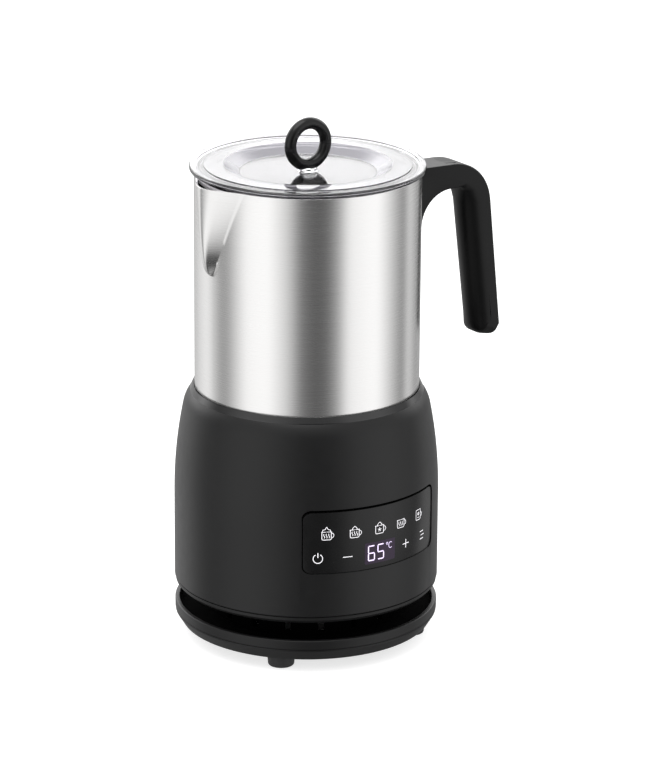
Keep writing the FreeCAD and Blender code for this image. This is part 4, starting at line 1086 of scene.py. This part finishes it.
@dataclass
class ControlPanel:
    """The gloss cover in the window, its printed marks and its display."""

    wall: BodyWall
    window: Window
    recess: float = 0.4
    thickness: float = 3.0
    slit: Point = (0.7, 1.3)
    line: float = 0.32
    sign_line: float = 0.42
    marks: tuple[tuple[Mark, float, float], ...] = (
        (Mark.TALL_FOAM, -25.1, 72.4), (Mark.LOW_FOAM, -12.7, 72.4), (Mark.COLD_FOAM, -0.7, 72.4),
        (Mark.WARM_MILK, 11.1, 72.4), (Mark.COCOA, 23.2, 72.4), (Mark.POWER, -29.3, 59.5), (Mark.LESS, -16.3, 59.5),
        (Mark.MORE, 13.9, 59.9), (Mark.MENU, 26.1, 60.4))
    display_middle: float = -0.65
    display_level: float = 59.65
    display_width: float = 17.6
    display_height: float = 10.9
    digit_height: float = 7.9
    digit_width: float = 3.9
    bar: float = 0.56

    def build(self) -> None:
        """Makes the cover, the marks and the display."""
        cover = self.wall.band("panel_face", self.recess, self.thickness, self.window.bottom - 1.5,
                               self.window.top + 1.5)
        carve(cover, self.window.plug("cover_tool", -0.02, self.slit), Cut.KEEP)
        softened(cover, 0.25, 50)
        ride(cover, "base", PANEL_BLACK, "panel_cover", slot="panel_black")
        flange = self.wall.band("panel_flange", self.thickness - 0.4, self.thickness + 1.0, self.window.bottom - 2.5,
                                self.window.top + 2.5)
        carve(flange, self.window.plug("flange_tool", 2.0), Cut.KEEP)
        ride(smoothed(flange), "base", SHADOW_BLACK, slot="panel_black")
        for mark, middle, level in self.marks:
            lines = [[(x, 0.0, z) for x, z in stroke] for stroke in mark.strokes()]
            signs = (Mark.POWER, Mark.LESS, Mark.MORE, Mark.MENU)
            drawing = wire("mark_" + mark.value, lines, self.sign_line if mark in signs else self.line, 1)
            self.print_on(drawing, middle, level, 0.03, PRINT_PAINTED_GLOW, "panel_black")
        self.display()

    def print_on(self, drawing: Piece, middle: float, level: float, proud: float, finish: Finish, slot: str) -> None:
        """Flattens a drawing, wraps it on the cover and finishes it.

        Args:
            drawing: The drawing in the XZ plane.
            middle: Azimuth of its middle in degrees.
            level: Height of its middle.
            proud: How far it stands out.
            finish: Its material.
            slot: The record's material slot.
        """
        for vertex in drawing.data.vertices:
            vertex.co.y *= 0.15
        self.wall.wrapped(drawing, middle, level, proud - self.recess)
        ride(drawing, "base", finish, slot=slot)

    def display(self) -> None:
        """Makes the dark lens and the lit characters."""
        low, high = self.display_level - self.display_height / 2, self.display_level + self.display_height / 2
        middle = self.wall.straight * math.radians(self.display_middle)
        left, right = middle - self.display_width / 2, middle + self.display_width / 2
        lens = self.wall.band("display_lens", self.recess - 0.05, self.recess + 0.4, low - 1, high + 1)
        block = slab("lens_tool", (left, -80, low), (right, -20, high))
        carve(lens, edge_bevel(block, 0.7, 4, lambda place, run: abs(run.y) > 0.9), Cut.KEEP)
        ride(smoothed(lens), "base", DISPLAY, slot="gloss_black")
        bars: list[Piece] = []
        for place, lit in ((-5.2, "afgedc"), (0.1, "afgcd")):
            bars += [self.segment(key, place) for key in lit]
        degree = [[(x + 3.9, 0.0, z + 3.3) for x, z in arc((0, 0), 0.5, 0, 360, 14)]]
        letter = [[(x + 6.0, 0.0, z * 1.3 + 2.2) for x, z in arc((0, 0), 1.15, 50, 310, 14)]]
        characters = joined("display_characters", bars + [wire("degree", degree + letter, 0.3, 1)])
        self.print_on(characters, self.display_middle, self.display_level, 0.09, DIGITS, "gloss_black")

    def segment(self, key: str, place: float) -> Piece:
        """One bar of a seven-bar digit.

        Args:
            key: a to g, clockwise from the top, g in the middle.
            place: Where the digit's middle is.

        Returns:
            The bar.
        """
        half, quarter = self.digit_width / 2, self.digit_height / 4
        x, z, across = {"a": (0, 2, 1), "g": (0, 0, 1), "d": (0, -2, 1), "f": (-1, 1, 0), "b": (1, 1, 0),
                        "e": (-1, -1, 0), "c": (1, -1, 0)}[key]
        reach, thick = (half if across else quarter), self.bar / 2
        tip, end = reach - 0.26, reach - 0.26 - thick
        outline = [(-tip, 0), (-end, -thick), (end, -thick), (tip, 0), (end, thick), (-end, thick)]
        if not across:
            outline = [(b, a) for a, b in outline]
        outline = [(a + place + x * (half - thick), b + z * (quarter - thick / 2)) for a, b in outline]
        return flat_shape("bar_" + key, outline, 0.3)


# ---------------------------------------------------------------- jug


@dataclass
class Jug:
    """The drawn steel jug, with a V-shaped spout pressed out of its wall."""

    radius: float = Extent.of("jug_shell").radius
    bottom: float = Extent.of("jug_shell").bottom
    rim: float = Extent.of("jug_shell").top
    tip: float = -Extent.of("jug_shell").low.x
    wall: float = 1.0
    corner: float = 3.0
    spout_drop: float = 45.0
    spout_half: float = 20.0
    columns: int = 256
    spread: int = 15
    depths: tuple[float, ...] = (45, 44.7, 44.3, 43.7, 43, 42, 41, 39.5, 38, 36, 33.5, 31, 28, 25, 21, 17, 13, 9,
                                 5, 2, 0)

    def build(self) -> None:
        """Turns the jug, presses its spout and rounds its rim."""
        low, floor = self.bottom, self.bottom + self.wall
        outer = eased([(0, low), (self.radius - self.corner, low, 2.0), (self.radius, low + self.corner, 2.0),
                       (self.radius, low + 12)], closed=False)
        rows = [self.rim - depth for depth in self.depths]
        inner = [(self.radius - self.wall, height) for height in reversed(rows)]
        inner += [(self.radius - self.wall, floor + self.corner), (self.radius - self.wall - self.corner, floor),
                  (0, floor)]
        shell = turned("jug_cup", outer + [(self.radius, height) for height in rows] + inner, self.columns)
        for vertex in shell.data.vertices:
            vertex.co = self.pressed(vertex.co / MM) * MM
        softened(shell, 0.3, 60, 2)
        ride(shell, "jug", STEEL, "jug_shell", slot="jug_steel")

    def pressed(self, place: Vector) -> Vector:
        """Moves a point of the round wall out into the spout.

        Args:
            place: The point on the round jug.

        Returns:
            The point on the finished jug.
        """
        depth = self.rim - place.z
        middle = math.hypot(place.x, place.y)
        if middle < WELD:
            return place
        wall = 0.0 if middle > self.radius - self.wall / 2 else self.wall
        radius = self.radius - wall
        share = max(0.0, (self.spout_drop - depth) / self.spout_drop)
        half, nose = share * (self.spout_half - wall) + 0.6, share * 3.4 + 0.8
        seat = math.sqrt(radius ** 2 - half ** 2)
        fullness = share * (self.spout_drop + 4) / (self.spout_drop - depth + 4)
        tip = radius + fullness * (self.tip - self.radius)
        corner = math.atan2(half, seat)
        start = math.atan2(abs(place.y), -place.x)
        knee = FULL_TURN * self.spread / self.columns
        if start <= knee:
            angle = start / knee * corner
        else:
            angle = corner + (start - knee) / (math.pi - knee) * (math.pi - corner)
        reach = middle
        if angle < corner and share > 0:
            along = Vector((math.cos(angle), math.sin(angle)))
            flank = Vector((tip - seat, nose - half))
            straight = (seat * flank.y - half * flank.x) / (along.x * flank.y - along.y * flank.x)
            blunt, soft = (tip + 0.5 * share) / along.x, 4.0 * share + 0.01
            gap = max(0.0, soft - abs(straight - blunt)) / soft
            reach = max(radius, min(straight, blunt) - gap ** 2 * soft / 4)
        side = math.copysign(1.0, place.y)
        return Vector((-reach * math.cos(angle), side * reach * math.sin(angle), place.z))


@dataclass
class Handle:
    """The black grip and the inlay on its arm."""

    half: float = Extent.of("handle_grip").high.y
    left: float = Extent.of("handle_grip").low.x
    right: float = Extent.of("handle_grip").high.x
    top: float = Extent.of("handle_grip").top
    bottom: float = Extent.of("handle_grip").bottom
    plate: float = 3.5
    plate_bottom: float = 169.6
    arch: float = 17.5
    spring: float = 30.4
    shoulder: float = 24.0
    shoulder_end: Point = (105.15, 207.06)
    shoulder_start: float = 82.0
    palm_start: Point = (88.9, 213.0)
    lean: float = 0.1255
    crisp: float = 0.5
    soft: float = 2.6
    palm: float = 8.4
    slices: tuple[float, ...] = (0, 2, 3.6, 5, 6.2, 7.2, 7.9, 8.4, 8.7, 8.88, 9.0)

    def outline(self) -> list[tuple[float, float, float]]:
        """The grip seen from the side.

        Returns:
            Its corners, each with the rounding of its two edges.
        """
        inner, spring = self.left + self.plate, self.top - self.spring
        crown = (inner + self.arch, spring + self.arch)
        arch = list(reversed(bowed(crown, (inner, spring), self.arch, 14)))
        low = self.plate_bottom
        points = [(x, z, self.crisp) for x, z in [(self.left, low), (inner, low), *arch, crown]]
        across, up = self.palm_start
        points += [(84.0, 216.3, self.crisp), (87.6, 215.6, 3.0), (across, up, 6.0)]
        points += [(across + self.lean * drop, up - drop, self.palm) for drop in range(6, 70, 7)]
        toe = eased([(97.2, 147.0), (98.4, 137.4, 6.5), (self.right - 3.0, self.bottom, 6.0),
                     (self.right, self.bottom + 6.0)], closed=False)
        points += [(x, z, self.palm - (self.palm - self.soft) * share / (len(toe) - 1))
                   for share, (x, z) in enumerate(toe)]
        top = bowed(self.shoulder_end, (self.shoulder_start, self.top - 0.7), self.shoulder, 14)
        points += [(*self.shoulder_end, self.soft)]
        points += [(x, z, self.soft + (self.crisp - self.soft) * share / len(top)) for share, (x, z) in enumerate(top)]
        return points + [(self.left, self.top, self.crisp)]

    def build(self) -> None:
        """Makes the grip and its inlay."""
        ride(self.grip(), "jug", HANDLE_BLACK, "handle_grip", slot="handle_black")
        cap = Extent.of("handle_cap")
        inlay = slab("handle_inlay", cap.low, cap.high)
        edge_bevel(inlay, 1.2, 4, lambda place, run: abs(run.z) > 0.9)
        softened(inlay, 0.3, 50, 2)
        ride(inlay, "jug", HANDLE_BLACK, "handle_cap", slot="handle_black")

    def grip(self) -> Piece:
        """Draws the grip out slice by slice and rounds each edge by its own amount.

        Returns:
            The grip.
        """
        outline = self.outline()
        sides = [-depth for depth in reversed(self.slices)] + list(self.slices[1:])
        piece = path_mesh("handle_body", [(x, sides[0], z) for x, z, _ in outline], True)
        with editing(piece):
            for near, far in zip(sides, sides[1:]):
                bpy.ops.mesh.extrude_region_move(TRANSFORM_OT_translate={"value": (0, (far - near) * MM, 0)})
        for side in (sides[0], sides[-1]):
            pick(piece, Part.EDGE, lambda place, run, side=side: abs(place.y - side) < WELD)
            with editing(piece, everything=False):
                bpy.ops.mesh.edge_face_add()
        count = len(outline)
        for vertex in piece.data.vertices:
            x, y, z = vertex.co / MM
            index = min(range(count), key=lambda i: (outline[i][0] - x) ** 2 + (outline[i][1] - z) ** 2)
            rounding = outline[index][2]
            over = max(0.0, abs(y) - (self.half - rounding))
            inset = rounding - math.sqrt(max(0.0, rounding ** 2 - over ** 2))
            before, after = Vector(outline[index - 1][:2]), Vector(outline[(index + 1) % count][:2])
            run = (after - before).normalized()
            vertex.co = Vector((x - run.y * inset, y, z + run.x * inset)) * MM
        settle(piece)
        return smoothed(piece, 38)


# ---------------------------------------------------------------- well, feet, base ring, lid and whisk


@dataclass
class Well:
    """The wound coil and the sprung sensor under the jug."""

    hole: float = 20.0
    wire: float = 2.9
    steps: int = 40
    spring_wire: float = 0.7
    spring_turns: int = 4
    press: float = 1.0

    def build(self) -> None:
        """Winds the flat coil and the sensor's spring."""
        coil = Extent.of("induction_coil")
        radius, level = coil.radius - self.wire / 2, (coil.bottom + coil.top) / 2
        count = int((radius - self.hole) / self.wire)
        spiral = self.winding(count, self.hole + self.wire / 2, radius, level, level)
        ride(wire("coil_winding", [spiral], self.wire, 2), "base", COPPER, "induction_coil", slot="copper_wire")
        spring = Extent.of("sensor_spring")
        reach, half = spring.radius - self.spring_wire / 2, self.spring_wire / 2
        helix = self.winding(self.spring_turns, reach, reach, spring.bottom + half, spring.top - half)
        piece = wire("sensor_coil", [helix], self.spring_wire, 2)
        ride(piece, "base", ZINC, "sensor_spring", slot="zinc_steel")
        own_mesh(piece)

    def winding(self, turns: int, start: float, end: float, low: float, high: float) -> list[tuple[float, ...]]:
        """Points along a winding that may widen and climb.

        Args:
            turns: Number of turns.
            start: First radius.
            end: Last radius.
            low: First height.
            high: Last height.

        Returns:
            The points.
        """
        line, count = [], turns * self.steps
        for step in range(count + 1):
            share, turn = step / count, FULL_TURN * step / self.steps
            radius = start + (end - start) * share
            line.append((radius * math.cos(turn), radius * math.sin(turn), low + (high - low) * share))
        return line


@dataclass
class Feet:
    """Four rubber feet with rounded treads and a recess for the screw."""

    radius: float = 6.9
    recess: float = 3.05
    depth: float = 3.2
    hole: float = 1.85
    tread: float = 0.5
    height: float = Extent.of("rubber_feet").top

    def build(self) -> None:
        """Turns one foot and sets four copies of it in place."""
        box = Extent.of("rubber_feet")
        outline = [(self.recess, 0, self.tread), (self.radius - self.tread, 0, 1.2), (self.radius, self.height),
                   (self.hole, self.height), (self.hole, self.depth), (self.recess, self.depth)]
        foot = turned("foot", eased(outline), COARSE)
        x, y = box.high.x - self.radius, box.high.y - self.radius
        places = [(side * x, end * y, 0) for side in (-1, 1) for end in (-1, 1)]
        feet = joined("rubber_foot_set", [copy_of(foot, "foot_%d" % number, place)
                                          for number, place in enumerate(places)])
        bpy.data.objects.remove(foot)
        ride(feet, "base", RUBBER, "rubber_feet", slot="rubber_black")


@dataclass
class BaseRing:
    """The lipped ring that the stand's air gap opens over, with its dark floor."""

    radius: float = Extent.of("base_ring").radius
    bottom: float = Extent.of("base_ring").bottom
    top: float = Extent.of("base_ring").top
    lip: float = 2.3
    floor: float = 14.2
    hole: float = 48.5
    seam: float = 0.4

    def build(self) -> None:
        """Turns the ring and its floor, and notches both for the cord gland."""
        inner = self.radius - self.lip
        outline = [(inner, self.bottom), (self.radius - self.seam, self.bottom),
                   (self.radius, self.bottom + self.seam), (self.radius, self.top, 0.7), (inner, self.top, 0.45)]
        rim = turned("ring_rim", eased(outline, 4))
        floor = turned("ring_floor", [(self.hole, self.bottom), (inner, self.bottom), (inner, self.floor),
                                      (self.hole, self.floor)])
        gland = Extent.of("cord_gland")
        for piece, finish in ((rim, BASE_BLACK), (floor, SHADOW_BLACK)):
            notch = slab("gland_tool", (gland.low.x, gland.low.y, 0), (gland.high.x, 80, 20))
            carve(piece, notch, Cut.AWAY)
            ride(smoothed(piece), "base", finish, slot="base_plastic")
        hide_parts("base_ring")


@dataclass
class Lid:
    """The clear lid with its dish, its seal and the black ring that lifts it."""

    radius: float = Extent.of("lid_disc").radius
    bottom: float = Extent.of("lid_disc").bottom
    top: float = Extent.of("lid_disc").top
    under: float = Extent.of("lid_disc").top - 2.4
    dish: float = Extent.of("knob_collar").bottom
    floor: float = Extent.of("knob_washer").top
    groove: float = 0.5
    groove_inner: float = 50.6
    groove_outer: float = 54.1
    dish_radius: float = 33.6
    slope_radius: float = 40.7
    ceiling: float = 236.5
    skirt_inner: float = 51.1
    skirt_outer: float = 52.9
    seal_low: float = Extent.of("lid_seal").bottom
    seal_high: float = Extent.of("lid_seal").top
    seal_radius: float = Extent.of("lid_seal").radius

    def build(self) -> None:
        """Turns the lid, its seal and its knob."""
        top, step = self.top, self.top - self.groove
        upper = [(self.radius, self.under + 0.4, 0.3), (self.radius, step, 0.4), (self.radius - 0.5, top, 0.3),
                 (self.groove_outer, top, 0.15), (self.groove_outer, step, 0.1),
                 (self.groove_inner, step, 0.1), (self.groove_inner, top, 0.15),
                 (self.slope_radius, top, 0.8), (self.dish_radius, self.dish, 1.2), (0, self.dish)]
        lower = [(0, self.floor), (self.dish_radius - 0.6, self.floor, 1.0),
                 (self.slope_radius - 0.6, self.ceiling, 0.8),
                 (self.skirt_inner, self.ceiling, 0.6), (self.skirt_inner, self.bottom, 0.4),
                 (self.skirt_outer, self.bottom, 0.4), (self.skirt_outer, self.under, 0.3),
                 (self.radius - 0.3, self.under, 0.2)]
        outline = eased(lower, 4, closed=False) + eased(upper, 4, closed=False)
        disc = turned("lid_clear", outline)
        ride(disc, "lid", CLEAR, "lid_disc", slot="clear_plastic")
        # The dish slope's faces take the darker copy, as painted shade.
        disc.data.materials.append(SHADED_SLOPE_CLEAR.material())
        pick(disc, Part.FACE, lambda place, run: place.z > self.dish - 0.2 and run.z > 0
             and self.dish_radius - 0.8 < math.hypot(place.x, place.y) < self.slope_radius + 0.8)
        for face in disc.data.polygons:
            face.material_index = int(face.select)
        lip = [(self.skirt_outer, self.seal_low), (self.seal_radius, self.seal_low + 0.4, 0.3),
               (self.seal_radius, self.seal_high - 0.4, 0.3), (self.skirt_outer, self.seal_high)]
        ride(turned("lid_gasket", eased(lip)), "lid", SEAL, "lid_seal", slot="seal_rubber")
        self.knob()

    def knob(self) -> None:
        """Makes the upright ring and the polished collar it stands in."""
        box = Extent.of("knob_ring")
        minor, major = box.high.y, box.high.x - box.high.y
        hoop = ring("knob_hoop", major, minor, (0, 0, box.top - major - minor), upright=True)
        ride(hoop, "lid", KNOB_BLACK, "knob_ring", slot="rubber_black")
        collar = Extent.of("knob_collar")
        outline = [(0, collar.bottom), (5.0, collar.bottom), (5.0, collar.bottom + 0.5, 0.3),
                   (4.6, collar.bottom + 0.8, 0.2), (4.4, collar.top - 0.3, 0.3), (4.1, collar.top, 0.2),
                   (0, collar.top)]
        ferrule = turned("knob_ferrule", eased(outline, 4, closed=False), MEDIUM)
        ride(ferrule, "lid", CHROME, "knob_collar", slot="chrome_trim")


@dataclass
class Whisk:
    """The whisk's hub and its sprung wire hoop."""

    bottom: float = Extent.of("whisk_hub").bottom
    top: float = Extent.of("whisk_hub").top
    radius: float = Extent.of("whisk_hub").radius
    bore: float = 3.0
    hoop: float = 17.0
    thickness: float = 5.4
    turns: int = 34
    steps: int = 14
    wire: float = 0.9

    def build(self) -> None:
        """Turns the hub and winds the hoop."""
        top, low = self.top, self.bottom
        outline = [(self.bore, low, 0.3), (self.radius, low, 0.4), (self.radius, low + 2.6, 0.8),
                   (10.5, low + 5.0, 3.0), (7.5, top, 1.0), (self.bore, top, 0.3)]
        hub = turned("whisk_boss", eased(outline), MEDIUM)
        ride(hub, "whisk", BASE_BLACK, "whisk_hub", slot="base_plastic")
        level = (Extent.of("whisk_spring").top + Extent.of("whisk_spring").bottom) / 2
        reach = (self.thickness - self.wire) / 2
        count = self.turns * self.steps
        line = []
        for step in range(count):
            around, along = FULL_TURN * step / self.steps, FULL_TURN * step / count
            radius = self.hoop + reach * math.cos(around)
            line.append((radius * math.cos(along), radius * math.sin(along), level + reach * math.sin(around)))
        coil = wire("whisk_coil", [line], self.wire, 2, closed=True)
        ride(coil, "whisk", PLATE_STEEL, "whisk_spring", slot="platform_steel")


# ---------------------------------------------------------------- studio


@dataclass
class Studio:
    """A pale floor, soft light and the camera."""

    eye: tuple[float, float, float] = (-1.05496, -1.54281, 0.7295)
    azimuth: float = -34.6
    pitch: float = 17.91
    roll: float = 0.36
    lens: float = 186.05
    sensor: float = 36.0
    floor_size: float = 40.0
    floor_level: float = -0.0002
    lamp_place: tuple[float, float, float] = (-0.3, -0.2, 1.6)
    lamp_size: float = 1.4
    lamp_power: float = 15.0
    levels: tuple[tuple[float, float], ...] = (
        (-180, 0.5), (-156, 0.68), (-121, 1.28), (-98, 0.45), (-88, 0.5), (-64, 1.5), (-39, 1.6), (-20, 1.0),
        (-6, 0.25), (8, 0.13), (20, 0.17), (31, 0.5), (43, 1.4), (76, 1.6), (100, 0.7), (113, 0.3), (125, 0.95),
        (143, 0.45), (180, 0.5))

    def build(self) -> None:
        """Sets up everything that isn't the object."""
        bpy.context.scene.view_settings.view_transform = "Standard"
        self.floor()
        self.sky()
        self.lamps()
        self.camera()

    def floor(self) -> None:
        """Lays the floor just under the feet."""
        clear_selection()
        bpy.ops.mesh.primitive_plane_add(size=self.floor_size, location=(0, 0, self.floor_level))
        floor = named("studio_floor")
        floor.data.materials.append(FLOOR_PAPER.material())
        floor.visible_glossy = False

    def camera(self) -> None:
        """Places the camera."""
        data = bpy.data.cameras.new("studio_camera")
        camera = bpy.data.objects.new("studio_camera", data)
        bpy.context.scene.collection.objects.link(camera)
        data.lens, data.sensor_width, data.sensor_fit = self.lens, self.sensor, "AUTO"
        data.clip_end = 100.0
        turn = (Matrix.Rotation(math.radians(self.azimuth), 4, "Z")
                @ Matrix.Rotation(math.radians(90 - self.pitch), 4, "X")
                @ Matrix.Rotation(math.radians(self.roll), 4, "Z"))
        camera.matrix_world = Matrix.Translation(self.eye) @ turn
        bpy.context.scene.camera = camera

    def sky(self) -> None:
        """Surrounds the object with soft panels of light and dark gaps, as a level for each direction."""
        world = bpy.data.worlds.new("studio_sky")
        bpy.context.scene.world = world
        world.use_nodes = True
        tree = Tree(world.node_tree)
        turn = tree.add("Mapping", {"Vector": tree.add("TexCoord").outputs["Generated"]}, vector_type="POINT")
        turn.inputs["Rotation"].default_value = (0, 0, -math.radians(self.azimuth - 90))
        axes = tree.add("SeparateXYZ", {0: turn.outputs[0]}).outputs
        around = tree.maths("ARCTAN2", axes["Y"], axes["X"])
        share = tree.between(around, start=-math.pi, end=math.pi)
        ramp = tree.add("ValToRGB", {"Fac": share})
        stops = ramp.color_ramp.elements
        for angle, level in self.levels:
            place = (angle + 180) / 360
            stop = stops[0] if angle == -180 else stops[-1] if angle == 180 else stops.new(place)
            stop.color = [level / 2] * 3 + [1]
        level = tree.maths("MULTIPLY", ramp.outputs["Color"], 2.0)
        high_sky = tree.between(tree.between(axes["Z"], end=0.6), 1.0, 1.15)
        plain = tree.between(tree.between(axes["Z"], start=0.25, end=0.75), level, high_sky)
        behind = tree.between(axes["X"], start=-0.2, end=-0.8)
        above = tree.between(axes["Z"], start=0.05, end=0.25)
        below = tree.between(axes["Z"], start=0.7, end=0.5)
        patch = tree.maths("MULTIPLY", tree.maths("MULTIPLY", behind, above), below)
        boost = tree.maths("ADD", 1.0, tree.maths("MULTIPLY", patch, 3.4))
        ground = tree.between(axes["Z"], low=0.5, start=-0.62, end=-0.37)
        shade = tree.maths("MULTIPLY", tree.maths("MULTIPLY", plain, boost), ground)
        background = world.node_tree.nodes["Background"]
        tree.feed(background.inputs["Color"], tree.add("CombineColor", {0: shade, 1: shade, 2: shade}).outputs[0])

    def lamps(self) -> None:
        """Hangs one wide soft lamp overhead."""
        data = bpy.data.lights.new("overhead", "AREA")
        data.shape, data.size, data.energy = "DISK", self.lamp_size, self.lamp_power
        lamp = bpy.data.objects.new("overhead", data)
        lamp.location = self.lamp_place
        lamp.rotation_euler = (math.radians(-8), math.radians(-10), 0)
        bpy.context.scene.collection.objects.link(lamp)


def main() -> None:
    """Builds the studio and every sub-assembly."""
    logging.basicConfig(level=logging.INFO, format="%(name)s: %(message)s")
    wall, window = BodyWall(), Window()
    for assembly in (Studio(), Body(wall, window), ControlPanel(wall, window), Jug(), Handle(), Well(), Feet(),
                     BaseRing(), Lid(), Whisk()):
        assembly.build()
    dress_kept_nodes()
    clear_selection()


if __name__ == "__main__":
    main()
